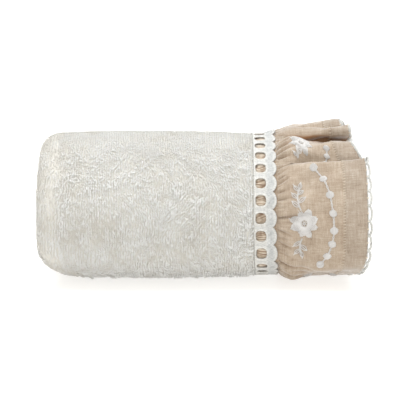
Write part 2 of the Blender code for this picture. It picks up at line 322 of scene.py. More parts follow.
def outside_out(obj):
    """Turns every face of a closed mesh outward."""
    import bmesh
    bm = bmesh.new()
    bm.from_mesh(obj.data)
    bmesh.ops.recalc_face_normals(bm, faces=bm.faces[:])
    if bm.calc_volume(signed=True) < 0:
        bmesh.ops.reverse_faces(bm, faces=bm.faces[:])
    bm.to_mesh(obj.data)
    bm.free()
    obj.data.shade_smooth()
    return obj


def waves(n, low, high, seed):
    """Smooth noise of two coordinates as a sum of plane waves, about -1 to 1."""
    g = np.random.default_rng(seed)
    length = g.uniform(low, high, n)
    turn = g.uniform(0, 2 * np.pi, n)
    phase = g.uniform(0, 2 * np.pi, n)
    k = 2 * np.pi / length

    def value(a, b):
        out = 0.0
        for i in range(n):
            out = out + np.sin(k[i] * (np.cos(turn[i]) * a + np.sin(turn[i]) * b)
                               + phase[i])
        return out / math.sqrt(n / 2) / 1.6
    return value


class Nodes:
    """A short way to write a node tree."""

    def __init__(self, name):
        self.mat = bpy.data.materials.new(name)
        self.mat.use_nodes = True
        self.tree = self.mat.node_tree
        self.shader = self.tree.nodes["Principled BSDF"]

    def add(self, kind, **settings):
        node = self.tree.nodes.new(kind)
        for key, value in settings.items():
            if key.startswith("in_"):
                node.inputs[key[3:].replace("_", " ")].default_value = value
            else:
                setattr(node, key, value)
        return node

    def link(self, a, b):
        self.tree.links.new(a, b)

    def uv(self, scale=(1, 1, 1), turn=0.0, layer="weave"):
        uv = self.add("ShaderNodeUVMap", uv_map=layer)
        m = self.add("ShaderNodeMapping")
        m.inputs["Scale"].default_value = scale
        m.inputs["Rotation"].default_value = (0, 0, turn)
        self.link(uv.outputs[0], m.inputs["Vector"])
        return m.outputs[0]

    def value(self, name):
        """A number kept on the mesh's points."""
        return self.add("ShaderNodeAttribute", attribute_name=name).outputs["Fac"]

    def place(self, scale=(1, 1, 1)):
        co = self.add("ShaderNodeTexCoord")
        m = self.add("ShaderNodeMapping")
        m.inputs["Scale"].default_value = scale
        self.link(co.outputs["Object"], m.inputs["Vector"])
        return m.outputs[0]

    def noise(self, vector, scale, detail=2.0, rough=0.5):
        n = self.add("ShaderNodeTexNoise", in_Scale=scale, in_Detail=detail,
                     in_Roughness=rough)
        self.link(vector, n.inputs["Vector"])
        return n.outputs["Fac"]

    def math(self, op, a, b=None, clamp=False):
        m = self.add("ShaderNodeMath", operation=op, use_clamp=clamp)
        for i, v in enumerate((a, b)):
            if v is None:
                continue
            if isinstance(v, (int, float)):
                m.inputs[i].default_value = v
            else:
                self.link(v, m.inputs[i])
        return m.outputs[0]

    def ramp(self, fac, stops):
        r = self.add("ShaderNodeValToRGB")
        while len(r.color_ramp.elements) < len(stops):
            r.color_ramp.elements.new(0.5)
        for e, (at, colour) in zip(r.color_ramp.elements, stops):
            e.position = at
            e.color = (*colour, 1.0)
        self.link(fac, r.inputs[0])
        return r.outputs[0]

    def mix(self, fac, a, b, kind="MIX"):
        m = self.add("ShaderNodeMix", data_type="RGBA", blend_type=kind)
        for i, v in ((0, fac), (6, a), (7, b)):
            if isinstance(v, (int, float)):
                m.inputs[i].default_value = v
            elif isinstance(v, tuple):
                m.inputs[i].default_value = (*v, 1.0)
            else:
                self.link(v, m.inputs[i])
        return m.outputs[2]

    def colour(self, socket):
        self.link(socket, self.shader.inputs["Base Color"])

    def bump(self, height, strength=0.4, distance=0.0005):
        b = self.add("ShaderNodeBump")
        b.inputs["Strength"].default_value = strength
        b.inputs["Distance"].default_value = distance
        self.link(height, b.inputs["Height"])
        self.link(b.outputs[0], self.shader.inputs["Normal"])

    def set(self, **values):
        for key, value in values.items():
            self.shader.inputs[key.replace("_", " ")].default_value = value
        return self


def linen_material():
    m = Nodes("linen_weave")
    # threads both ways, thick and thin, a little over one a millimetre
    warp = m.noise(m.uv((0.95, 0.12, 1)), 1.0, 2.0, 0.55)
    weft = m.noise(m.uv((0.12, 0.95, 1)), 1.0, 2.0, 0.55)
    slub = m.noise(m.uv((0.035, 0.55, 1)), 1.0, 2.0, 0.5)
    slub2 = m.noise(m.uv((0.55, 0.035, 1)), 1.0, 2.0, 0.5)
    patch = m.noise(m.uv((0.045, 0.06, 1)), 1.0, 3.0, 0.6)
    grain = m.noise(m.uv((1.6, 1.6, 1)), 1.0, 1.0, 0.5)
    threads = m.math("ADD", m.math("MULTIPLY", warp, 0.5),
                     m.math("MULTIPLY", weft, 0.5))
    slubs = m.math("ADD", m.math("MULTIPLY", slub, 0.5),
                   m.math("MULTIPLY", slub2, 0.5))
    tone = m.math("ADD", m.math("MULTIPLY", threads, 0.36),
                  m.math("ADD", m.math("MULTIPLY", patch, 0.20),
                         m.math("ADD", m.math("MULTIPLY", slubs, 0.20),
                                m.math("MULTIPLY", grain, 0.24))))
    base = m.ramp(tone, ((0.37, (0.200, 0.142, 0.094)), (0.455, (0.325, 0.250, 0.181)),
                         (0.535, (0.400, 0.323, 0.246)), (0.62, (0.525, 0.450, 0.365))))
    fleck = m.noise(m.uv((0.42, 0.13, 1)), 1.0, 1.0, 0.4)
    dark = m.math("MULTIPLY", m.math("GREATER_THAN", fleck, 0.73), 0.35)
    base = m.mix(dark, base, (0.26, 0.185, 0.12))
    # the hem is three layers deep: greyer, and a little darker
    hem = m.math("MULTIPLY", m.value("hem"), 0.75)
    base = m.mix(hem, base, m.mix(1.0, base, (0.90, 0.925, 0.965), "MULTIPLY"))
    # painted shade: in the gathers and folds the cloth's colour is darkened and warmed where shade falls
    painted_shade = m.math("MULTIPLY", m.value("painted_shade"), 0.36)
    base = m.mix(painted_shade, base, m.mix(1.0, base, (0.82, 0.57, 0.37), "MULTIPLY"))
    # the crushed head that shows in the eyelets: painted light on the strands and painted shade in the
    # gaps between them
    strands = m.ramp(m.value("strand"), ((0.10, (0.19, 0.115, 0.068)),
                                         (0.50, (0.43, 0.33, 0.24)),
                                         (0.92, (0.68, 0.60, 0.49))))
    m.colour(m.mix(m.math("MULTIPLY", m.value("head"), 0.8), base, strands))
    w1 = m.add("ShaderNodeTexWave", wave_type="BANDS", bands_direction="X",
               in_Scale=0.4, in_Distortion=1.5, in_Detail=1.0)
    m.link(m.uv((1, 1, 1)), w1.inputs["Vector"])
    w2 = m.add("ShaderNodeTexWave", wave_type="BANDS", bands_direction="Y",
               in_Scale=0.4, in_Distortion=1.5, in_Detail=1.0)
    m.link(m.uv((1, 1, 1)), w2.inputs["Vector"])
    height = m.math("ADD", m.math("MULTIPLY", tone, 1.3),
                    m.math("MULTIPLY", m.math("ADD", w1.outputs["Fac"],
                                              w2.outputs["Fac"]), 0.12))
    m.bump(height, 0.6, 0.0007)
    m.set(Roughness=0.9, Sheen_Weight=0.68, Sheen_Roughness=0.42)
    return m.mat


def terry_material(name, colour, sheen=0.34):
    m = Nodes(name)
    grain = m.noise(m.place((1, 1, 1)), 900.0, 2.0, 0.6)
    m.bump(grain, 0.10, 0.0002)
    m.shader.inputs["Base Color"].default_value = (*colour, 1.0)
    m.set(Roughness=0.92, Sheen_Weight=sheen, Sheen_Roughness=0.6)
    return m.mat


def ground_material():
    m = Nodes("terry_ground")
    patch = m.noise(m.place((1, 1, 1)), 60.0, 4.0, 0.6)
    m.colour(m.ramp(patch, ((0.3, (0.60, 0.575, 0.52)), (0.7, (0.69, 0.67, 0.62)))))
    loops = m.noise(m.place((1, 1, 1)), 420.0, 3.0, 0.6)
    m.bump(loops, 0.8, 0.0012)
    m.set(Roughness=0.95, Sheen_Weight=0.2)
    return m.mat


def tape_material():
    m = Nodes("tape_cotton")
    fine = m.noise(m.uv((0.5, 1.5, 1)), 1.0, 3.0, 0.6)
    soft = m.noise(m.uv((0.18, 0.18, 1)), 1.0, 2.0, 0.5)
    tone = m.math("ADD", m.math("MULTIPLY", fine, 0.65), m.math("MULTIPLY", soft, 0.35))
    ground = m.ramp(tone, ((0.36, (0.308, 0.315, 0.310)), (0.5, (0.445, 0.446, 0.433)),
                           (0.64, (0.585, 0.590, 0.572))))
    satin = m.ramp(fine, ((0.32, (0.44, 0.43, 0.40)), (0.62, (0.66, 0.65, 0.615))))
    m.colour(m.mix(m.value("rim"), ground, satin))
    m.bump(fine, 0.7, 0.0008)
    m.set(Roughness=0.75, Sheen_Weight=0.1)
    return m.mat


def thread_material(name, low, high, rough=0.55, stripe=1.6):
    m = Nodes(name)
    w = m.add("ShaderNodeTexWave", wave_type="BANDS", bands_direction="X",
              in_Scale=stripe, in_Distortion=0.6, in_Detail=1.0)
    m.link(m.uv((1, 1, 1)), w.inputs["Vector"])
    tone = m.noise(m.uv((1.5, 0.3, 1)), 1.0, 2.0, 0.5)
    m.colour(m.ramp(tone, ((0.3, low), (0.65, high))))
    m.bump(w.outputs["Fac"], 0.45, 0.0003)
    m.set(Roughness=rough, Sheen_Weight=0.2)
    return m.mat


LINEN = linen_material()
GROUND = ground_material()
# three tones of pile: besides random tone, the warm one carries painted shade and the light one painted
# light
PILE = (terry_material("terry_pile_light", (0.660, 0.656, 0.634)),
        terry_material("terry_pile", (0.628, 0.617, 0.585)),
        terry_material("terry_pile_warm", (0.570, 0.546, 0.496)))
TAPE = tape_material()
THREAD = thread_material("embroidery_thread", (0.57, 0.550, 0.525), (0.725, 0.705, 0.685))
PICOT = thread_material("picot_thread", (0.47, 0.468, 0.438), (0.62, 0.618, 0.588), 0.65)
CREAM = thread_material("cream_thread", (0.60, 0.50, 0.38), (0.74, 0.65, 0.53), 0.65)


# ---- the terry panel, folded in four and wound ---------------------------------------------
def left_end(angle):
    """How far the left end of the winding stands out of line, by angle."""
    turn = (angle - LOOSE_EDGE) / 360.0
    # the low corners are well rounded
    z = outermost(angle, wound_radius(angle))[1]
    low = np.clip((38.0 - z) / 38.0, 0.0, 0.95) * (1 - ease((angle - 235.0) / 40.0))
    return (1.6 * (1 - np.cos(np.radians(angle - 10.0)))
            + 22.0 * (1 - np.sqrt(1 - low ** 2))
            + np.where(turn > 1.0, 4.0 * (turn - 1.0), 0.0))


def wound(angle, x, below):
    """A point of the stack in space: x and depth as folded, angle as wound."""
    x = (x + left_end(angle) * ease((-70.0 - x) / 60.0)
         + 0.5 * read_off(TAPE_WANDER, angle) * ease((x - 20.0) / 30.0))
    y, z = inside(angle, x, below)
    return np.stack([x + 0 * y, y, z + 0 * x], -1)


LAYERS = (4.0, 10.9, 17.7, 24.4)
# each layer has the same length, so the inner ones reach further round
LAYER_ENDS = tuple(float(min(angle_after(TOWEL_WIDTH, length_table(b)), 508.0))
                   for b in LAYERS)


def layer_end(below):
    return np.interp(below, LAYERS, LAYER_ENDS)


def close_up(angle, below):
    """Beyond the end of the outermost layer the others close up to the turn outside."""
    return -6.2 * ease((angle - LAYER_ENDS[0] - 2.0) / 38.0) * ease((below - 5.0) / 4.0)


# how far the innermost layer hangs loose into the core half-way along the roll
CORE_SAG = ((75.0, 0.0), (100.0, 5.0), (125.0, 9.5), (148.0, 14.0), (178.0, 21.0),
            (230.0, 19.0), (300.0, 16.0), (380.0, 9.5), (430.0, 5.5), (480.0, 0.0))


def core_sag(angle, x, below):
    """The innermost layer sags into the core, and the second turn swells outwards
    to the first at the front."""
    middle = np.exp(-((x + 42.0) / 52.0) ** 2)
    inner = read_off(CORE_SAG, angle) * ease((below - 21.0) / 3.0)
    outer = (5.6 * ease((angle - 275.0) / 25.0) * (1 - ease((angle - 390.0) / 22.0))
             * (1 - ease((below - 5.0) / 5.0)))
    outer = outer + 2.2 * np.exp(-((angle - 358.0) / 15.0) ** 2) * (1 - ease((below - 5.0) / 5.0))
    return middle * (inner - outer - 2.6 * np.exp(-((angle - 474.0) / 18.0) ** 2))


def fold_path():
    """The middle line of the folded cloth as (x, depth, half thickness)."""
    pts = []
    for x in (57.0, 55.0, 51.0, 46.4):
        pts.append((x, 5.4, 1.6))
    pts += [(44.6, 4.9, 1.7), (43.2, 4.0, 2.0), (41.0, 4.0, 2.35)]
    for x in np.linspace(37.0, -128.0, 22):
        pts.append((x, 4.0, 2.4))
    for t in np.linspace(0, np.pi, 15)[1:-1]:
        pts.append((-143.4 + 13.6 * (1 - math.sin(t)), 14.2 - 10.2 * math.cos(t), 2.5))
    for x in np.linspace(-129.8, 49.0, 18):
        pts.append((x, 24.4, 2.9))
    for t in np.linspace(0, np.pi, 9)[1:-1]:
        pts.append((50.6 + 3.35 * math.sin(t), 21.05 + 3.35 * math.cos(t), 2.9))
    for x in np.linspace(49.0, -131.5, 15):
        pts.append((x, 17.7, 2.9))
    for t in np.linspace(0, np.pi, 9)[1:-1]:
        pts.append((-136.7 + 4.5 * (1 - math.sin(t)), 14.3 + 3.4 * math.cos(t), 2.9))
    for x in np.linspace(-131.5, 44.0, 15):
        pts.append((x, 10.9, 2.9))
    for x in (47.0, 51.0, 54.5, 55.6):
        pts.append((x, 10.9, 1.9 if x < 55 else 1.2))
    return np.array(pts)


def build_terry():
    path = fold_path()
    mid = path[:, :2]
    along = np.gradient(mid, axis=0)
    along /= np.linalg.norm(along, axis=1)[:, None]
    side = np.stack([along[:, 1], -along[:, 0]], 1)
    half = path[:, 2:3]
    last = layer_end(path[:, 1])
    last = np.convolve(np.pad(last, 2, mode="edge"), np.ones(5) / 5, "valid")
    first = LOOSE_EDGE + 1.1 * np.sin(path[:, 1] * 0.35) + 0.8
    count = 160
    t = np.linspace(0, 1, count)
    angle = first[None, :] + (last - first)[None, :] * t[:, None]
    shift = close_up(angle, path[None, :, 1])
    thin = np.ones((count, 1))
    thin[0] = thin[-1] = 0.45
    thin[1] = thin[-2] = 0.85
    faces = []
    lump = waves(9, 14.0, 40.0, 3)
    for sign in (-1.0, 1.0):
        x = mid[None, :, 0] + sign * side[None, :, 0] * half[None, :, 0] * thin
        b = mid[None, :, 1] + sign * side[None, :, 1] * half[None, :, 0] * thin + shift
        b = np.clip(b + 0.22 * lump(x, angle * 1.2), 0.5, 28.4)
        faces.append(wound(angle, x, b + core_sag(angle, x, mid[None, :, 1])))
    co, quads = cloth_body(faces[0], faces[1])
    obj = outside_out(build("terry_panel", co, quads, GROUND))
    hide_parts("terry_roll")
    return obj


# ---- the pile: loops lying in swirls -------------------------------------------------------
ROOT = 1.55     # how deep under the towel's outer face the loops start


def skin_outline(t):
    """Where the loops' roots run: t is the distance from the tape leftwards, round
    the fold, to the inner face.  Gives x, depth and the outward direction (dx, dd)
    in the plane of x and depth."""
    flat = 42.2 + 129.8
    arc = np.clip((t - flat) / 42.0, 0.0, 1.0) * np.pi
    back = np.maximum(t - flat - 42.0, 0.0)
    on_fold = t > flat
    ext, rad = FOLD_DEPTH + 0.8 - ROOT, 14.0 - ROOT
    x = np.where(on_fold, ROLL_LEFT - 0.8 + ROOT + ext * (1 - np.sin(arc)) + back,
                 42.2 - t)
    below = np.where(on_fold, 14.0 - rad * np.cos(arc), 14.0 - rad)
    dx = -np.sin(arc) / ext
    dd = -np.cos(arc) / rad
    size = np.hypot(dx, dd)
    return x, below, dx / size, dd / size


def right_fold(t):
    """The same for the fold at the right end, between the two inner layers; t runs
    round it from the innermost layer."""
    arc = np.clip(t / 17.6, 0.0, 1.0) * np.pi
    rad = 5.5
    return (50.6 + rad * np.sin(arc), 21.05 + rad * np.cos(arc), np.sin(arc), np.cos(arc))


def core_right(t):
    """The innermost face near the right end, t from the fold inwards."""
    return 50.0 - t, 27.1 + 0 * t, 0 * t, 1.0 + 0 * t


def core_left(t):
    """The same near the left end."""
    return -131.0 + t, 27.1 + 0 * t, 0 * t, 1.0 + 0 * t


def pile_roots(pitch):
    """Roots of the loops: angle, length round the roll, x and depth there and a
    little further on, and the outward direction."""
    out = []
    for table, last, t0, t1, step, outline in (
            (length_table(1.3), 259.0, -2.6, 169.0, pitch, skin_outline),
            (length_table(10.0), 500.0, 169.0, 172.0 + 50.0, pitch * 1.08, skin_outline),
            (length_table(20.0), 506.0, 0.0, 17.6, pitch * 1.12, right_fold),
            (length_table(27.0), 500.0, 0.0, 34.0, pitch * 1.12, core_right),
            (length_table(27.0), 500.0, 0.0, 26.0, pitch * 1.12, core_left)):
        core = outline in (core_right, core_left)
        end = table[np.searchsorted(FINE, last)]
        # the loops stand in columns, as they are woven
        w = np.arange(0.8, end, step * 0.82)
        t = np.arange(t0, t1, step * 1.22)
        W, T = np.meshgrid(w, t, indexing="ij")
        W = (W + rng.uniform(-0.42, 0.42, W.shape) * step).ravel()
        T = (T + rng.uniform(-0.34, 0.34, T.shape) * step).ravel()
        angle = angle_after(W, table)
        x, below, dx, dd = outline(T)
        x2, b2, _, _ = outline(T + 0.8)
        # the pile stops at the tape, which is sewn a little askew
        keep = (x < 42.4 + read_off(TAPE_WANDER, angle) * 0.8) | (outline is not skin_outline)
        if core:
            keep &= angle > 150.0
        keep &= angle < layer_end(below) - 0.6
        # under the roll it is pressed flat against the cloth, and thins out of sight
        keep &= (angle > -75.0) | ((rng.random(len(T)) < 0.5) & (angle > -103.0))
        out.append([c[keep] for c in (angle, W, x, below, x2, b2, dx, dd)])
    return (np.concatenate(c) for c in zip(*out))


def build_pile():
    angle, w, x, below, x2, b2, dx, dd = pile_roots(1.70)
    below, b2 = below + close_up(angle, below), b2 + close_up(angle, b2)
    step = 0.6
    lump = waves(18, 10.0, 24.0, 11)(x, w)
    tuft = waves(26, 4.5, 11.0, 12)(x, w)
    root = wound(angle, x, below)
    ahead = wound(angle + step, x, below) - root
    left = wound(angle, x2, b2) - root
    ahead /= np.linalg.norm(ahead, axis=1)[:, None]
    left /= np.linalg.norm(left, axis=1)[:, None]
    normal = np.cross(left, ahead)
    normal /= np.linalg.norm(normal, axis=1)[:, None]
    # point it outwards: away from a point deeper in the stack
    deeper = wound(angle, x - dx * 3.0, below - dd * 3.0)
    sign = np.sign(np.einsum("ij,ij->i", normal, root - deeper))
    sign[sign == 0] = 1.0
    normal *= sign[:, None]
    # swirls: the loops mostly lie downwards on the front, with whirls to both sides
    calm = 1 - 0.77 * ease((angle - 48.0) / 24.0) * (1 - ease((angle - 120.0) / 30.0))
    calm *= 0.35 + 0.65 * ease((x + 136.0) / 22.0)
    livelier = (0.55 + 0.65 * ease((x + 95.0) / 60.0)) * (1 + 0.30 * ease((12.0 - angle) / 30.0))
    swirl = ((0.74 * waves(8, 45.0, 95.0, 21)(x, w) + 0.17 * waves(10, 16.0, 34.0, 22)(x, w))
             * calm * livelier + rng.normal(0, 0.09, len(x)) * (0.4 + 0.6 * calm))
    # beside the tape they turn away from it
    beside = (1 - ease((42.2 - x) / 6.5)) * (below < 5.0)
    aside = np.sin(swirl) * (1 - beside) + (0.3 + 0.5 * np.abs(np.sin(swirl))) * beside
    lie = -np.cos(swirl)[:, None] * ahead + aside[:, None] * left
    lie /= np.linalg.norm(lie, axis=1)[:, None]
    across = np.cross(normal, lie)
    n = len(x)
    length = 3.3 * (1 + 0.16 * rng.normal(size=n)).clip(0.6, 1.5) * (1 + 0.10 * lump) * (1 - 0.22 * beside)
    width = 1.16 * (1 + 0.12 * rng.normal(size=n)).clip(0.6, 1.4)
    # where the towel rests on the floor the loops are pressed flat
    y0, z0 = inside(angle, x, below)
    press = 0.25 + 0.75 * ease((z0 - 1.0) / 5.0)
    tall = (1.04 * (1 + (0.09 * rng.normal(size=n) + 0.26 * lump + 0.24 * tuft) * calm).clip(0.45, 1.8)
            * press * (0.44 + 0.56 * calm) * (1 - 0.30 * ease((angle + 8.0) / 42.0)))
    relief = 0.50 * lump + 0.40 * tuft * (1 + 0.7 * ease((15.0 - angle) / 30.0))
    root = root + normal * (0.28 + np.maximum(relief, -0.30) * calm
                            * (1 - 0.25 * ease((angle + 8.0) / 42.0)))[:, None]

    def loop_mesh(sides):
        """A loop rises from its root, bends over and ends blunt: two rings between
        two tips."""
        ring = np.arange(sides) * 2 * np.pi / sides + np.pi / 6 * (sides == 3)
        shape = [(0.0, 0.0, 0.0)]
        for at, size in ((0.36, 0.92), (0.80, 1.0)):
            shape += [(at, size * math.cos(a), size * math.sin(a)) for a in ring]
        shape += [(1.0, 0.0, 0.0)]
        k = np.arange(sides)
        k1 = (k + 1) % sides
        tri = [np.stack([np.zeros(sides, int), 1 + k1, 1 + k], 1)]
        tri += [np.stack([1 + k, 1 + k1, 1 + sides + k], 1),
                np.stack([1 + k1, 1 + sides + k1, 1 + sides + k], 1)]
        tri += [np.stack([1 + sides + k, 1 + sides + k1, np.full(sides, 1 + 2 * sides)], 1)]
        return np.array(shape), np.concatenate(tri)

    def loop_points(own, shape):
        al = shape[None, :, 0]
        flat = length[own, None] * (0.55 * al + 0.45 * al ** 2)
        up = tall[own, None] * np.sin(al * 1.95) / math.sin(1.5)
        return (root[own, None, :] + lie[own, None, :] * flat[..., None]
                + normal[own, None, :] * (up + 0.30 * width[own, None]
                                          * shape[None, :, 2])[..., None]
                + across[own, None, :] * (0.5 * width[own, None]
                                          * shape[None, :, 1])[..., None])

    # three tones: partly by chance and in broad patches, and partly painted shade and light, darker where
    # clumps and tufts sink, lighter where they rise, and darker at the left end
    tone = 0.55 * waves(10, 30.0, 90.0, 31)(x, w) + 0.50 * lump
    tone = tone + (0.50 * tuft + 0.12 * rng.normal(size=n)) * (0.3 + 0.7 * calm)
    # painted shade: the left end of the pile is darkened
    tone = tone - 0.8 * (1 - ease((x + 138.0) / 34.0)) * (angle < 100.0)
    pick = np.digitize(tone, (-0.75, 0.15))
    names = ("terry_pile_warm", "terry_pile_mid", "terry_pile_light")
    mats = (PILE[2], PILE[1], PILE[0])
    # round the back and in the core three sides a loop are enough
    hidden = (angle > 128.0) | (angle < -64.0)
    total = 0
    for kind in range(3):
        for sides, wanted, where in ((4, ~hidden, "front"), (3, hidden, "back")):
            shape, tri = loop_mesh(sides)
            own = np.flatnonzero((pick == kind) & wanted)
            parts = max(1, math.ceil(len(own) / 12000))
            for part in range(parts):
                some = own[part::parts]
                verts = loop_points(some, shape).reshape(-1, 3)
                verts[:, 2] = np.maximum(verts[:, 2], 0.02)
                faces = (np.arange(len(some))[:, None, None] * len(shape)
                         + tri[None]).reshape(-1, 3)
                total += len(faces)
                obj = build(f"{names[kind]}_{where}_{part + 1}", verts, faces, mats[kind])
                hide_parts("terry_roll")
    print("pile loops", n, "triangles", total)


# ---- the frill ---------------------------------------------------------------------------
def edge_rows():
    rows = [row[1:] for row in EDGE_FOLDS]
    rows += [(angle, angle, off, x) for _, angle, off, x in RIPPLES]
    last = float(angle_after(TOWEL_WIDTH, length_table(3.0)))
    rows.append((last, last, -0.5, 137.5))
    return rows


def frill_point(tape, edge, off, x1, v):
    """The middle of the smooth cloth, a share v of the way from the tape out."""
    x0 = tape_edge(tape) + FRILL_START
    u = np.clip(v, 0.0, 1.0)
    angle = tape + (edge - tape) * (1 - (1 - u) ** LEAN)
    free = 1 - (1 - u) ** FULLNESS
    slim = slimness(TAPE_LEFT)
    y, z = outermost(angle, wound_radius(angle) * slim + off * free)
    y0, z0 = surface(angle, TAPE_LEFT, 0.0)
    y1, z1 = surface(angle, TAPE_LEFT, HEAD_BELOW)
    y, z = y + (y1 - y0) * (1 - free), z + (z1 - z0) * (1 - free)
    x = x0 + np.where(v > 0, (x1 - x0) * v, v * 80.0)
    return np.stack([x, y, np.maximum(z, LOWEST)], -1)


def through(rows, places, k, t):
    n = len(rows)
    pick = [max(0, min(n - 1, k + i)) for i in (-1, 0, 1, 2)]

    def gap(i, j):
        return math.sqrt(math.dist(places[i], places[j])) or 1.0

    d0, d1, d2 = (gap(pick[i], pick[i + 1]) for i in range(3))
    out = []
    for c in range(4):
        v0, v1, v2, v3 = (rows[i][c] for i in pick)
        m1 = (v1 - v0) / d0 - (v2 - v0) / (d0 + d1) + (v2 - v1) / d1
        m2 = (v2 - v1) / d1 - (v3 - v1) / (d1 + d2) + (v3 - v2) / d2
        if k == 0:
            m1 = (v2 - v1) / d1
        if k == n - 2:
            m2 = (v2 - v1) / d1
        m1, m2 = m1 * d1, m2 * d1
        if c == 0:
            top = 3.0 * (v2 - v1)
            m1, m2 = max(0.0, min(m1, top)), max(0.0, min(m2, top))
        a, b = 2 * (v1 - v2) + m1 + m2, -3 * (v1 - v2) - 2 * m1 - m2
        out.append(((a * t + b) * t + m1) * t + v1)
    return out


COLUMNS = 780
V = np.concatenate([np.linspace(-0.235, -0.02, 7), np.linspace(0.0, 0.17, 16)[:-1],
                    np.linspace(0.17, 0.70, 22)[:-1], np.linspace(0.70, 1.0, 16)])


def frill_columns():
    """The frill's lines, spread evenly along the cloth, closer at the front."""
    rows = edge_rows()
    places = [tuple(frill_point(*row, 1.0)[1:]) for row in rows]
    fine = []
    for k in range(len(rows) - 1):
        fine += [through(rows, places, k, t / 60) for t in range(60)]
    fine.append(list(rows[-1]))
    fine = np.array(fine)
    p = frill_point(fine[:, 0], fine[:, 1], fine[:, 2], fine[:, 3], 0.6)
    gap = np.linalg.norm(np.diff(p, axis=0), axis=1)
    mid = 0.5 * (fine[1:, 0] + fine[:-1, 0])
    weight = np.where((mid > -100) & (mid < 125), 1.0, 0.55)
    run = np.concatenate([[0.0], np.cumsum(gap * weight)])
    even = np.linspace(0, run[-1], COLUMNS)
    return np.stack([np.interp(even, run, fine[:, c]) for c in range(4)], 1)


def normals_of(p):
    du = np.gradient(p, axis=0)
    dv = np.gradient(p, axis=1)
    n = np.cross(du, dv)
    n /= np.maximum(np.linalg.norm(n, axis=-1), 1e-9)[..., None]
    return n


# Larger creases that run out of the seam on the front: where they start (angle), how
# they slant, how deep and wide they are, and how far they reach.
#    angle  slant  depth  width  reach
CREASES = (
    (-60.0, -0.10,  3.0,   1.5,   26.0),
    (-52.0, -0.36,  3.8,   1.7,   34.0),
    (-44.0, -0.46,  4.6,   1.8,   44.0),
    (-37.0, -0.52,  3.0,   1.5,   40.0),
    (-31.0, -0.50,  4.6,   1.5,   36.0),
    (-23.0, -0.36,  1.6,   1.2,   20.0),
    (-15.0, -0.42,  2.3,   1.3,   30.0),
    (-6.5,  -0.36,  2.2,   1.2,   24.0),
    (3.0,    0.08,  3.0,   1.1,   27.0),
    (10.0,  -0.02,  1.2,   0.9,   10.0),
    (15.5,   0.16,  2.4,   1.1,   15.0),
    (21.5,   0.40,  1.1,   1.2,   14.0),
    (28.0,   0.50,  1.7,   1.4,   20.0),
    (35.5,   0.40,  1.0,   1.2,   14.0),
    (41.0,   0.30,  1.5,   1.2,   18.0),
    (50.0,   0.22,  2.4,   1.3,   26.0),
    (55.5,   0.14,  2.6,   1.3,   30.0),
    (60.5,   0.10,  2.8,   1.4,   34.0),
    (65.0,   0.05,  2.6,   1.3,   30.0),
    (70.0,   0.00,  2.2,   1.2,   22.0),
)
FAN = ((-112.4, -0.05), (-60.0, -0.20), (-38.0, -0.42), (-12.0, -0.28), (4.0, 0.05),
       (22.0, 0.40), (40.0, 0.26), (62.0, 0.05), (90.0, -0.10), (140.0, 0.0),
       (180.0, 0.12), (230.0, -0.10), (330.0, 0.0))


def gathers(tape, dist):
    """Height of the gathers over the smooth cloth, and how deep in a fold it is, which is painted as
    shade.
    """
    s = length_at(tape)[:, None]
    d = np.maximum(dist, 0.0)
    out, deep = np.zeros(dist.shape), np.zeros(dist.shape)
    g = np.random.default_rng(77)
    marks = [(float(length_at(a)), sl, de, 0.85 * wi, 0.78 * re)
             for a, sl, de, wi, re in CREASES]
    at = 1.5
    while at < TOWEL_WIDTH - 2:
        fan = float(read_off(FAN, angle_after(at)))
        marks.append((at, fan + g.normal(0, 0.16), g.uniform(0.5, 1.7),
                      g.uniform(0.65, 1.0), g.uniform(3.5, 10)))
        at += g.uniform(4.8, 10.0)
    for at, slant, depth, width, reach in marks:
        near = np.abs(s[:, 0] - at) < 40.0
        if not near.any():
            continue
        dd = d[near]
        wide = width * (1.0 + dd / 20.0)
        bend = 2.0 * np.sin(dd / 17.0 + at)
        off = s[near] - at - slant * dd - 0.35 * bend
        env = np.exp(-(dd / reach) ** 2) * ease((dd + 0.6) / 2.2)
        dip = np.exp(-np.abs(off / wide) ** 1.6)
        puff = np.exp(-((np.abs(off) - 2.2 * wide) / (1.3 * wide)) ** 2)
        out[near] += 0.80 * depth * env * (0.40 * puff - dip)
        # how deep in a fold, later painted as shade
        deep[near] += 0.24 * depth * env * np.exp(-(off / (0.75 * wide)) ** 2)
    return out, np.clip(deep, 0.0, 1.0)


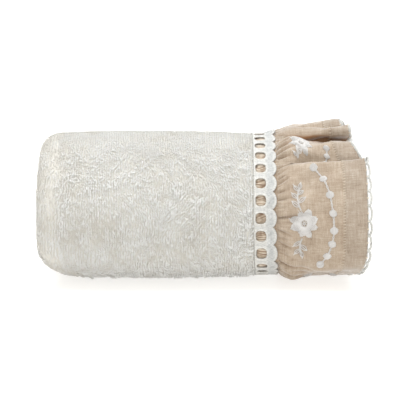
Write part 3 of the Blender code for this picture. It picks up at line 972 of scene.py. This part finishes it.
def build_frill():
    cols = frill_columns()
    tape = cols[:, 0]
    p = frill_point(cols[:, 0:1], cols[:, 1:2], cols[:, 2:3], cols[:, 3:4], V[None, :])
    x0 = (tape_edge(tape) + FRILL_START)[:, None]
    dist = p[..., 0] - x0
    n = normals_of(p)
    # the normal must look away from the roll
    ny, nz = outward(tape[0:1], TAPE_LEFT)
    if n[0, 12, 1] * ny[0] + n[0, 12, 2] * nz[0] < 0:
        n = -n
    run = np.concatenate([[0.0], np.cumsum(
        np.linalg.norm(np.diff(p[:, -1], axis=0), axis=1))])
    run = run[:, None] + 0 * dist
    soft = waves(10, 20.0, 55.0, 5)
    small = waves(12, 6.0, 15.0, 6)
    start = ease((dist + 2.0) / 5.0)
    ridges, deep = gathers(tape, dist)
    # under the tape the gathers are flat but wrinkled, as the eyelets show
    s = length_at(tape)[:, None] + 0 * dist
    twist = 2.75 * s + 1.5 * dist * waves(6, 12.0, 34.0, 8)(s, 0 * s) + 1.7 * small(s, dist)
    under = 0.42 * np.sin(twist) + 0.16 * small(s * 2.4, dist * 1.4)
    # painted light and shade for the head's wrinkles: lighter on their crests, darker in their gaps
    strand = 0.5 + 0.5 * np.sin(twist) + 0.25 * small(s * 1.7 + 9.0, dist * 2.2)
    drift = (1.9 * soft(run, dist * 0.8) * ease(dist / 24.0)
             * (1 - 0.45 * ease((dist - 48) / 20))
             + 0.20 * small(run, dist))
    # the cloth swells as soon as it is free of the seam, most of all behind the fold
    turn = tape[:, None]
    swell = (2.6 * np.exp(-((dist - 12.0) / 9.0) ** 2)
             + 6.2 * np.exp(-((dist - 17.0) / 13.5) ** 2) * ease((turn - 45.0) / 12.0)
             * (1 - ease((turn - 66.0) / 9.0))
             + 1.4 * np.exp(-((dist - 10.0) / 9.0) ** 2) * ease((-28.0 - turn) / 20.0)
             + 2.2 * np.exp(-((dist - 34.0) / 14.0) ** 2)
             * ease((turn - 95.0) / 5.0) * (1 - ease((turn - 112.0) / 12.0))
             ) * start
    hem = 0.35 * ease((V[None, :] - HEM) / 0.012) + 0 * dist
    lip = -0.5 * np.exp(-((V[None, :] - HEM + 0.002) / 0.008) ** 2)
    height = ridges * start + drift + swell + hem + lip
    height = np.where(dist < -1.0, under, height)
    height = height + flare(turn, dist + FRILL_START) * (1 - ease(dist / 15.0))
    # painted shade: warm shade is painted into the deep valley behind the second panel
    valley = (3.4 * ease((turn - 66.5) / 4.0) * (1 - ease((turn - 79.5) / 2.5))
              * ease((dist - 6.0) / 14.0))
    # and a thin line of painted shadow runs along the tape's scallops
    seam = 0.5 * np.exp(-((dist + 2.4) / 2.6) ** 2) * ease((dist + 7.0) / 2.0)
    # painted shade, in the gathers' folds, in the valley and along the scallops
    painted_shade = np.where(dist < -1.0, 0.0, deep + valley) + seam
    # one fold, running out from the tape at 124 degrees round the roll
    for at, slant, depth, wide in ((124.0, 0.1, 1.8, 3.0),):
        off = length_at(tape)[:, None] - float(length_at(at)) - slant * dist
        height = height - depth * np.exp(-(off / wide) ** 2) * ease(dist / 10.0)
    # next to the floor the cloth can't be pushed down
    mid = p + n * height[..., None]
    # away from the seam the low front hangs a little clear of the floor
    clear = (3.9 * ease((dist - 20.0) / 26.0) * ease((-25.0 - turn) / 20.0)
             * np.exp(-(mid[..., 2] / 15.0) ** 2))
    mid[..., 2] = np.maximum(mid[..., 2], 0.55) + clear
    mid[..., 2] = np.maximum(mid[..., 2], 0.55)
    n2 = normals_of(mid)
    n2 *= np.sign(np.einsum("ijk,ijk->ij", n2, n))[..., None]
    # keep the head of the frill between the tape and the terry
    half = np.where(dist < 0.5, 0.28, 0.34)[..., None]
    outer, inner = mid + n2 * half, mid - n2 * half
    inner[..., 2] = np.maximum(inner[..., 2], 0.15)
    co, quads = cloth_body(outer, inner)
    uv = np.stack([run, dist], -1).reshape(-1, 2)
    in_hem = (ease((V[None, :] - HEM) / 0.02) + 0 * dist).ravel()
    obj = outside_out(build("linen_frill", co, quads, LINEN, uv=np.concatenate([uv, uv]),
                            extra={"painted_shade": np.concatenate([painted_shade.ravel()] * 2),
                                   "hem": np.concatenate([in_hem] * 2),
                                   "strand": np.concatenate([strand.ravel()] * 2),
                                   "head": np.concatenate(
                                       [ease((-5.5 - dist) / 2.0).ravel()] * 2)}))
    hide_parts("linen_ruffle")
    print("frill", len(quads) * 2, "edge length", run[-1, 0])
    return dict(p=outer, n=n2, smooth=p, dist=dist, run=run, tape=tape, x0=x0)


HEM = 0.735   # where the hem begins, as a share of the frill's width


# ---- the eyelet tape -----------------------------------------------------------------------
def build_tape():
    half = EYELET_PITCH / 2
    valley, peak = 16.3, 19.9
    wide, tall = 9.3 / 2, 10.0 / 2

    def scallop(s):
        s = (s + half) % EYELET_PITCH - half
        return valley + (peak - valley) * (1 - (np.abs(s) / half) ** 2) ** 0.72

    right = np.linspace(-half, half, 17)
    top = np.linspace(valley, 0.0, 10)
    side = np.linspace(half, -half, 13)
    rim = [(valley, -half)] + [(float(scallop(s)), s) for s in right[1:-1]]
    rim += [(x, half) for x in top[:-1]]
    rim += [(0.0, s) for s in side[:-1]]
    rim += [(x, -half) for x in top[::-1][:-1]]
    rim = np.array(rim)
    a = np.arctan2(rim[:, 1] / tall, (rim[:, 0] - EYELET_FROM_EDGE) / wide)
    # the eyelets are nearer to rounded squares than to ovals
    square = 2.7
    out = (np.abs(np.cos(a)) ** square + np.abs(np.sin(a)) ** square) ** (-1 / square)
    hole = np.stack([EYELET_FROM_EDGE + wide * out * np.cos(a),
                     tall * out * np.sin(a)], 1)
    steps = np.array([0.0, 0.08, 0.18, 0.30, 0.44, 0.58, 0.72, 0.86, 1.0])
    m, k = len(rim), len(steps)
    local = hole[None] + (rim - hole)[None] * steps[:, None, None]
    cells = int(TOWEL_WIDTH / EYELET_PITCH)
    all_co, all_uv, all_faces, all_rim, start = [], [], [], [], 0
    for cell in range(cells):
        middle = (cell + 0.5) * EYELET_PITCH
        x, s = local[..., 0], local[..., 1]
        angle = angle_after(middle + s)
        u, w = (x - EYELET_FROM_EDGE) / wide, s / tall
        ring = (np.abs(u) ** square + np.abs(w) ** square) ** (1 / square)
        far = (ring - 1.0) * 4.8
        to_edge = scallop(s) - x
        seen = ease((s + half) / 0.5) * ease((half - s) / 0.5)
        overcast = np.exp(-((far - 0.7) / 0.75) ** 2)
        border = ease(1.0 - np.abs(to_edge - 0.9) / 1.5)
        selvedge = np.exp(-((x - 0.7) / 0.6) ** 2)
        h = (0.36 * overcast + 0.30 * selvedge + 0.34 * border
             + 0.10 * np.sin((middle + s) * 2.3 + x * 1.2) * ease((x - 10.5) / 2.0))
        h = h + 0.06 * seen * np.sin(np.arctan2(s, x - EYELET_FROM_EDGE) * 24) * overcast
        white = np.clip(overcast + border + selvedge + 0.5 * (x < 11.0), 0, 1)
        for face, below in ((0, TAPE_TOP - h), (1, TAPE_TOP + 0.85)):
            y, z = surface(angle, TAPE_LEFT, below - flare(angle, x))
            z = np.maximum(z, 0.12 + 0.4 * face)
            all_co.append(np.stack([tape_edge(angle) + x, y, z], -1).reshape(-1, 3))
            all_uv.append(np.stack([x, middle + s], -1).reshape(-1, 2))
            all_rim.append(white.ravel())
        size = m * k
        f0 = grid_faces(k, m, start, wrap=True)
        f1 = grid_faces(k, m, start + size, flip=True, wrap=True)
        j = np.arange(m)
        j1 = (j + 1) % m
        wall = np.stack([start + j, start + j1, start + size + j1, start + size + j], 1)
        last = (k - 1) * m
        on_line = (np.abs(np.abs(rim[j, 1]) - half) < 1e-6) & (rim[j, 1] == rim[j1, 1])
        keep = ~on_line
        if cell == 0:
            keep |= on_line & (rim[j, 1] < 0)
        if cell == cells - 1:
            keep |= on_line & (rim[j, 1] > 0)
        o, o1 = last + j[keep], last + j1[keep]
        edge = np.stack([start + o, start + size + o, start + size + o1, start + o1], 1)
        all_faces += [f0, f1, wall, edge]
        start += 2 * size
    co = np.concatenate(all_co)
    obj = build("eyelet_lace_tape", co, np.concatenate(all_faces), TAPE,
                uv=np.concatenate(all_uv), extra={"rim": np.concatenate(all_rim)})
    import bmesh
    bm = bmesh.new()
    bm.from_mesh(obj.data)
    bmesh.ops.remove_doubles(bm, verts=bm.verts[:], dist=0.00002)
    bm.to_mesh(obj.data)
    open_edges = sum(1 for e in bm.edges if len(e.link_faces) != 2)
    bm.free()
    outside_out(obj)
    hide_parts("eyelet_tape")
    print("tape", len(obj.data.polygons) * 2, "open edges", open_edges)
    return obj


# ---- threads ---------------------------------------------------------------------------------
def tubes(name, runs, radius, material, sides=6, closed=False):
    """Round threads along lists of points, all in one mesh, with rounded ends."""
    verts, uvs, quads, tris, start = [], [], [], [], 0
    turn = np.arange(sides) * 2 * np.pi / sides
    for run in runs:
        p = np.asarray(run, float)
        r = radius if np.isscalar(radius) else radius
        t = np.gradient(p, axis=0)
        t /= np.maximum(np.linalg.norm(t, axis=1), 1e-9)[:, None]
        ref = np.array([0.0, 0.0, 1.0]) if abs(t[0, 2]) < 0.8 else np.array([1.0, 0.0, 0.0])
        side = np.cross(t, ref)
        side /= np.maximum(np.linalg.norm(side, axis=1), 1e-9)[:, None]
        up = np.cross(side, t)
        ring = (p[:, None] + r * (np.cos(turn)[None, :, None] * side[:, None]
                                  + np.sin(turn)[None, :, None] * up[:, None]))
        ring[..., 2] = np.maximum(ring[..., 2], 0.02)
        n = len(p)
        d = np.concatenate([[0.0], np.cumsum(np.linalg.norm(np.diff(p, axis=0), axis=1))])
        verts.append(ring.reshape(-1, 3))
        uvs.append(np.stack([np.repeat(d, sides), np.tile(turn * r, n)], 1))
        i = np.arange(n - 1)[:, None]
        j = np.arange(sides)[None, :]
        j1 = (j + 1) % sides
        quads.append((np.stack([i * sides + j, i * sides + j1, (i + 1) * sides + j1,
                                (i + 1) * sides + j], -1).reshape(-1, 4)) + start)
        ends = np.array([p[0] - t[0] * r * 0.7, p[-1] + t[-1] * r * 0.7])
        ends[:, 2] = np.maximum(ends[:, 2], 0.02)
        verts.append(ends)
        uvs.append(np.array([[d[0], 0.0], [d[-1], 0.0]]))
        e0, e1 = start + n * sides, start + n * sides + 1
        jj = np.arange(sides)
        j2 = (jj + 1) % sides
        tris.append(np.stack([start + j2, start + jj, np.full(sides, e0)], 1))
        top = start + (n - 1) * sides
        tris.append(np.stack([top + jj, top + j2, np.full(sides, e1)], 1))
        start += n * sides + 2
    return build(name, np.concatenate(verts), [np.concatenate(quads), np.concatenate(tris)],
                 material, uv=np.concatenate(uvs))


def build_stitches():
    """The row of stitches that holds the tape's plain edge down."""
    runs = []
    table = length_table(1.0)
    total = TOWEL_WIDTH
    at = 1.0
    while at < total - 3:
        w = np.linspace(at, at + 2.3, 5)
        angle = angle_after(w)
        y, z = surface(angle, TAPE_LEFT, 0.75 - 0.65 * np.sin(np.linspace(0, np.pi, 5)))
        z = np.maximum(z, 0.3)
        runs.append(np.stack([tape_edge(angle) - 0.15 + 0 * y, y, z], 1))
        at += 3.1
    obj = tubes("seam_stitches", runs, 0.34, PICOT, 5)
    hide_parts("eyelet_tape")


class Cloth:
    """Places things on the frill's outer face."""

    def __init__(self, f):
        self.f = f
        p = f["smooth"]
        self.ii, self.jj = np.arange(p.shape[0]), np.arange(p.shape[1])
        self.lu, self.lv = np.zeros(p.shape[:2]), np.zeros(p.shape[:2])
        self.lu[1:] = np.cumsum(np.linalg.norm(np.diff(p, axis=0), axis=-1), axis=0)
        self.lv[:, 1:] = np.cumsum(np.linalg.norm(np.diff(p, axis=1), axis=-1), axis=1)

    def at(self, angle, along):
        """Grid place of a tape angle and a distance from the seam."""
        f = self.f
        i = np.interp(angle, f["tape"], np.arange(len(f["tape"])))
        row = f["dist"][int(round(float(i)))]
        j = np.interp(along, row, np.arange(len(row)))
        return float(i), float(j)

    def sample(self, i, j, h=0.0, key="p"):
        a = self.f[key]
        i = np.clip(i, 0, a.shape[0] - 1.001)
        j = np.clip(j, 0, a.shape[1] - 1.001)
        i0, j0 = np.floor(i).astype(int), np.floor(j).astype(int)
        fi, fj = (i - i0)[..., None], (j - j0)[..., None]

        def mix(b):
            return ((b[i0, j0] * (1 - fi) + b[i0 + 1, j0] * fi) * (1 - fj)
                    + (b[i0, j0 + 1] * (1 - fi) + b[i0 + 1, j0 + 1] * fi) * fj)
        p, n = mix(a), mix(self.f["n"])
        n /= np.linalg.norm(n, axis=-1)[..., None]
        return p + n * np.asarray(h)[..., None]

    def put(self, place, a, b, h):
        """Points a up the cloth and b along it, in millimetres from a place."""
        i0, j0 = place
        a, b = np.asarray(a, float), np.asarray(b, float)
        row = self.lv[int(round(i0))]
        j = np.interp(np.interp(j0, self.jj, row) + b, row, self.jj)
        i = np.empty(len(a))
        for k in range(len(a)):
            line = self.lu[:, int(round(j[k]))]
            i[k] = np.interp(np.interp(i0, self.ii, line) + a[k], line, self.ii)
        return self.sample(i, j, h)


class Satin:
    """Embroidery as its threads lie: every strand is a bowed round thread."""

    def __init__(self, cloth):
        self.cloth, self.runs, self.g = cloth, [], np.random.default_rng(404)

    def strand(self, place, ends, middle, tall, low=0.12, n=5):
        """A thread from end to end that bows through the middle point."""
        t = np.linspace(0, 1, n)[:, None]
        p0, p1, m = np.array(ends[0]), np.array(ends[1]), np.array(middle)
        c = 2 * m - 0.5 * (p0 + p1)
        q = (1 - t) ** 2 * p0 + 2 * t * (1 - t) * c + t * t * p1
        h = low + tall * np.sin(np.pi * t[:, 0]) ** 0.6
        self.runs.append(self.cloth.put(place, q[:, 0], q[:, 1], h))

    def petal(self, place, turn, length, width, start=1.5, tall=0.75):
        """Strands fanned from the flower's middle, ragged at the tip."""
        way, side = np.array([math.cos(turn), math.sin(turn)]), np.array(
            [-math.sin(turn), math.cos(turn)])
        n = max(5, int(width / 0.76))
        for i in range(n):
            u = (i + 0.5) / n * 2 - 1
            reach = length * (1 - 0.24 * abs(u) ** 2.0) + self.g.normal(0, 0.55)
            root = way * (start + 0.4 * self.g.random()) + side * u * width * 0.16
            mid = way * (start + reach) * 0.55 + side * u * width * 0.47
            tip = way * reach + side * u * width * 0.34
            self.strand(place, (root, tip), mid, tall * (1 - 0.45 * u * u))

    def leaf(self, place, root, turn, length, width, tall=0.6):
        way, side = np.array([math.cos(turn), math.sin(turn)]), np.array(
            [-math.sin(turn), math.cos(turn)])
        root = np.array(root, float)
        # an open leaf: its two sides and a vein
        for u in (-0.95, 0.05, 0.95):
            reach = length * (1.06 if abs(u) < 0.5 else 0.94) + self.g.normal(0, 0.3)
            end = root + way * reach
            mid = root + way * reach * 0.48 + side * u * width * 0.5
            self.strand(place, (root + side * u * 0.2, end + side * u * 0.15), mid,
                        tall * 0.8)

    def bead(self, place, turn, size, tall=0.95):
        """A padded dot: strands laid across it, side by side."""
        way, side = np.array([math.cos(turn), math.sin(turn)]), np.array(
            [-math.sin(turn), math.cos(turn)])
        n = max(7, int(size / 0.60))
        for i in range(n):
            u = (i + 0.5) / n * 2 - 1
            half = size * 0.5 * (1 - abs(u) ** 1.9) ** 0.62 + 0.25 + self.g.normal(0, 0.10)
            c = way * u * size * 0.5
            self.strand(place, (c - side * half, c + side * half), c,
                        tall * (1 - 0.55 * u * u))


def build_embroidery(f):
    cloth = Cloth(f)
    satin = Satin(cloth)
    threads = []

    def smooth(values, size):
        ker = np.ones(size) / size
        return np.convolve(np.pad(values, size // 2, mode="edge"), ker, "valid")

    def stem(place, pts, tall=0.35):
        """Two threads twisted round each other."""
        pts = np.array(pts, float)
        t = np.linspace(0, len(pts) - 1, int(len(pts) * 7))
        k = np.arange(len(pts))
        a, b = (smooth(np.interp(t, k, pts[:, c]), 5) for c in (0, 1))
        da, db = np.gradient(a), np.gradient(b)
        size = np.maximum(np.hypot(da, db), 1e-6)
        run = np.concatenate([[0.0], np.cumsum(np.hypot(np.diff(a), np.diff(b)))])
        for phase in (0.0, np.pi):
            off = 0.42 * np.sin(run * 2.4 + phase)
            h = tall + 0.25 * np.cos(run * 2.4 + phase)
            threads.append(cloth.put(place, a - db / size * off, b + da / size * off, h))

    def flower(place, size=1.0, petals=7, phase=0.0, tall=0.75):
        for k in range(petals):
            g = phase + k * 2 * np.pi / petals + 0.10 * math.sin(2.7 * k)
            satin.petal(place, g, size * (11.2 + 1.2 * math.sin(2.3 * k + 1)),
                        size * (7.4 + 0.7 * math.sin(1.7 * k)), size * 2.2, tall)
        for k in range(7):
            g = k * 2 * np.pi / 7 + 0.3
            a, b = size * 1.9 * math.cos(g), size * 1.9 * math.sin(g)
            satin.strand(place, ((0.25 * a, 0.25 * b), (a, b)), (0.62 * a, 0.62 * b), 0.5)

    def sprig(place, way, size=1.0, leaves=5, curl=0.35, tall=0.6):
        """A curled stem with pointed leaves to both sides and one at its end."""
        last = 3.2 * leaves + 1.5
        along = np.linspace(0, last, 9)
        bend = curl * size * np.sin(along / last * 2.6) * 6.0
        stem(place, np.stack([way * size * along, bend], 1))
        for k in range(leaves):
            at = 2.6 + 3.1 * k
            side = 1 if k % 2 else -1
            root = (way * size * at, float(np.interp(at, along, bend)) + side * 0.4)
            g = side * (0.95 - 0.08 * k)
            turn = g if way > 0 else math.pi - g
            satin.leaf(place, root, turn, size * (7.0 - 0.35 * k), size * 3.1, tall)
        turn = 0.2 if way > 0 else math.pi - 0.2
        satin.leaf(place, (way * size * (last - 0.3), float(bend[-1])), turn,
                   size * 5.4, size * 2.7, tall)

    def garland(points, size=6.3):
        """Padded dots on a twisted thread, given as angle and distance."""
        ij = np.array([cloth.at(a, d) for a, d in points])
        t = np.linspace(0, len(ij) - 1, len(ij) * 14)
        k = np.arange(len(ij))
        i, j = (smooth(np.interp(t, k, ij[:, c]), 9) for c in (0, 1))
        for phase in (0.0, np.pi):
            threads.append(cloth.sample(i, j + 0.30 * np.sin(t * 13.0 + phase),
                                        0.3 + 0.15 * np.cos(t * 13.0 + phase)))
        for k in range(len(ij)):
            spot = (float(np.interp(k, t, i)), float(np.interp(k, t, j)))
            satin.bead(spot, 0.25 * math.sin(3.1 * k) + 0.5 * (k % 2), size)

    # the front panel
    flower(cloth.at(-0.5, 23.5), 1.08, 8, 0.35)
    sprig(cloth.at(8.5, 20.5), 1, 1.12, 5, -0.42)
    sprig(cloth.at(-11.0, 21.0), -1, 1.12, 3, -0.30)
    garland([(37.0, 31.0), (29.0, 40.0), (18.5, 45.5), (6.5, 48.0), (-5.0, 49.0),
             (-14.5, 47.0), (-24.5, 42.5), (-33.0, 36.0)])
    # the second panel and the folds behind
    flower(cloth.at(60.0, 21.5), 0.86, 7, 0.1, 0.4)
    sprig(cloth.at(51.0, 17.5), 1, 0.62, 2, 0.3, 0.4)
    garland([(50.8, 42.5), (55.0, 44.0), (59.5, 43.5)], 4.7)
    for middle in (163.0, 214.0, -78.0):
        flower(cloth.at(middle, 26.0), 1.05, 7, middle)
        sprig(cloth.at(middle + 11.0, 21.0), 1, 1.0, 4, 0.35)
        sprig(cloth.at(middle - 11.0, 21.0), -1, 1.0, 4, -0.35)
        garland([(middle + d, 52.0 - abs(d) ** 1.6 * 0.05) for d in
                 (-21, -14, -7, 0, 7, 14, 21)], 6.2)
    obj = tubes("embroidery_satin", satin.runs, 0.36, THREAD, 5)
    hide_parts("linen_ruffle")
    obj = tubes("embroidery_stems", threads, 0.36, THREAD, 5)
    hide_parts("linen_ruffle")
    print("satin strands", len(satin.runs))
    # the hemstitch: a thread drawn through, with a small bar at every hole
    row = int(np.argmin(np.abs(V - HEM)))
    run = f["run"][:, 0]
    bars = []
    at = 0.8
    while at < run[-1] - 1:
        i = np.interp([at, at + 0.2], run, np.arange(len(run)))
        j = np.array([row - 0.55, row + 0.75])
        bars.append(cloth.sample(i, j, np.array([0.22, 0.18])))
        at += 2.6
    obj = tubes("hem_stitches", bars, 0.22, CREAM, 4)
    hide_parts("linen_ruffle")


def build_picots(f):
    """The edging: a base thread along the hem's edge and a row of picot loops."""
    edge = f["p"][:, -1] - f["n"][:, -1] * 0.34
    out = f["p"][:, -1] - f["p"][:, -3]
    out /= np.linalg.norm(out, axis=1)[:, None]
    n = f["n"][:, -1]
    run = f["run"][:, 0]
    k = np.arange(len(run))

    def at(d, off, up=0.0):
        i = np.interp(d, run, k)
        i = np.clip(i, 0, len(run) - 1.001)
        i0 = np.floor(i).astype(int)
        w = (i - i0)[:, None]
        mix = lambda q: q[i0] * (1 - w) + q[i0 + 1] * w
        return mix(edge) + mix(out) * np.asarray(off)[:, None] + mix(n) * np.asarray(
            up * np.ones(len(i)))[:, None]

    pitch = 13.0
    count = int((run[-1] - 2.0) / pitch)
    pitch = (run[-1] - 2.0) / count
    loops, dots = [], []
    for c in range(count):
        a = 1.0 + c * pitch
        t = np.linspace(0, 1, 22)
        d = a + pitch * (0.5 - 0.5 * np.cos(np.pi * t)) * 0.97 + pitch * 0.015
        # in the folded pleats they lie flatter
        pleat = float(np.interp(a, run, f["tape"]))
        reach = 3.0 - 1.9 * float(ease((pleat - 35.0) / 8.0) * (1 - ease((pleat - 124.0) / 6.0)))
        off = 0.1 + reach * np.sin(np.pi * t) ** 0.7
        loops.append(at(d, off, 0.25 * math.sin(c * 1.9)))
        for q in (0.0, 0.5):
            dots.append(at(np.array([a + pitch * q]), np.array([0.35 if q == 0 else 0.0]),
                           0.35)[0])
    line = np.arange(0.5, run[-1] - 0.5, 1.6)
    for name, runs, radius in (("picot_loops", loops, 1.15), ("picot_base", [
            at(line, 0.15 + 0.12 * np.sin(line * 2.1), 0.3)], 0.50)):
        obj = tubes(name, runs, radius, PICOT, 7)
        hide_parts("lace_edging")
    # small knots at the feet of the loops
    g = []
    for p in dots:
        g.append(np.array([p + [-0.55, 0, 0], p + [0.0, 0, 0], p + [0.55, 0, 0]]))
    obj = tubes("picot_knots", g, 0.75, CREAM, 6)
    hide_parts("lace_edging")
    print("picots", count)


build_terry()
build_pile()
frill = build_frill()
build_tape()
build_stitches()
build_embroidery(frill)
build_picots(frill)


# ---- floor, light and camera --------------------------------------------------------------------
def stage():
    scene = bpy.context.scene
    me = bpy.data.meshes.new("floor")
    s = 40.0
    me.from_pydata([(-s, -s, 0), (s, -s, 0), (s, s, 0), (-s, s, 0)], [], [(0, 1, 2, 3)])
    m = Nodes("floor_paper")
    m.shader.inputs["Base Color"].default_value = (0.47, 0.462, 0.447, 1.0)
    # a lit sweep: its own glow keeps the shade under the roll pale
    m.set(Roughness=0.95, Specular_IOR_Level=0.1, Emission_Color=(1.0, 0.99, 0.97, 1.0),
          Emission_Strength=0.70)
    me.materials.append(m.mat)
    floor = bpy.data.objects.new("floor", me)
    scene.collection.objects.link(floor)
    floor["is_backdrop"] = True

    world = bpy.data.worlds.new("studio")
    scene.world = world
    world.use_nodes = True
    tree = world.node_tree
    bg = tree.nodes["Background"]
    way = tree.nodes.new("ShaderNodeTexCoord")
    split = tree.nodes.new("ShaderNodeSeparateXYZ")
    ramp = tree.nodes.new("ShaderNodeValToRGB")
    tree.links.new(way.outputs["Generated"], split.inputs[0])
    tree.links.new(split.outputs["Z"], ramp.inputs[0])
    tree.links.new(ramp.outputs[0], bg.inputs[0])
    low, high = ramp.color_ramp.elements
    low.position, low.color = 0.08, (1.0, 1.0, 1.0, 1.0)
    high.position, high.color = 0.26, (0.52, 0.52, 0.52, 1.0)
    bg.inputs[1].default_value = 1.0

    def softbox(name, place, strength, spread, colour=(1.0, 1.0, 1.0)):
        """A wide, distant light; place is the direction it comes from."""
        light = bpy.data.lights.new(name, "SUN")
        light.color = colour
        light.energy = strength
        light.angle = math.radians(spread)
        obj = bpy.data.objects.new(name, light)
        obj.location = place
        obj.rotation_euler = (-Vector(place)).to_track_quat("-Z", "Y").to_euler()
        scene.collection.objects.link(obj)

    softbox("key_softbox", (-0.10, -2.00, 1.10), 0.84, 40, (1.0, 0.985, 0.955))
    softbox("top_softbox", (0.02, 0.10, 2.20), 3.42, 70, (0.965, 0.985, 1.0))
    softbox("back_fill", (0.90, 1.70, 1.20), 0.60, 60)
    softbox("side_fill", (2.00, -0.25, 0.45), 0.40, 50)

    scene.view_settings.view_transform = "Standard"
    scene.view_settings.look = "None"
    scene.view_settings.exposure = 0.0
    scene.view_settings.gamma = 1.0

    cam = bpy.data.cameras.new("camera")
    cam.lens = 220.0
    cam.sensor_width = 36.0
    obj = bpy.data.objects.new("camera", cam)
    aim = Vector((-0.0031, 0.00754, 0.0637))
    e = math.radians(13.0)
    back = Vector((0.0, -math.cos(e), math.sin(e)))
    obj.location = aim + back * 2.2
    obj.rotation_euler = (-back).to_track_quat("-Z", "Y").to_euler()
    cam.clip_end = 20.0
    scene.collection.objects.link(obj)
    scene.camera = obj


stage()

show = lambda box: [[round(float(c), 5) for c in corner] for corner in box]
{"cad": show(cad_box), "visual": show(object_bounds())}
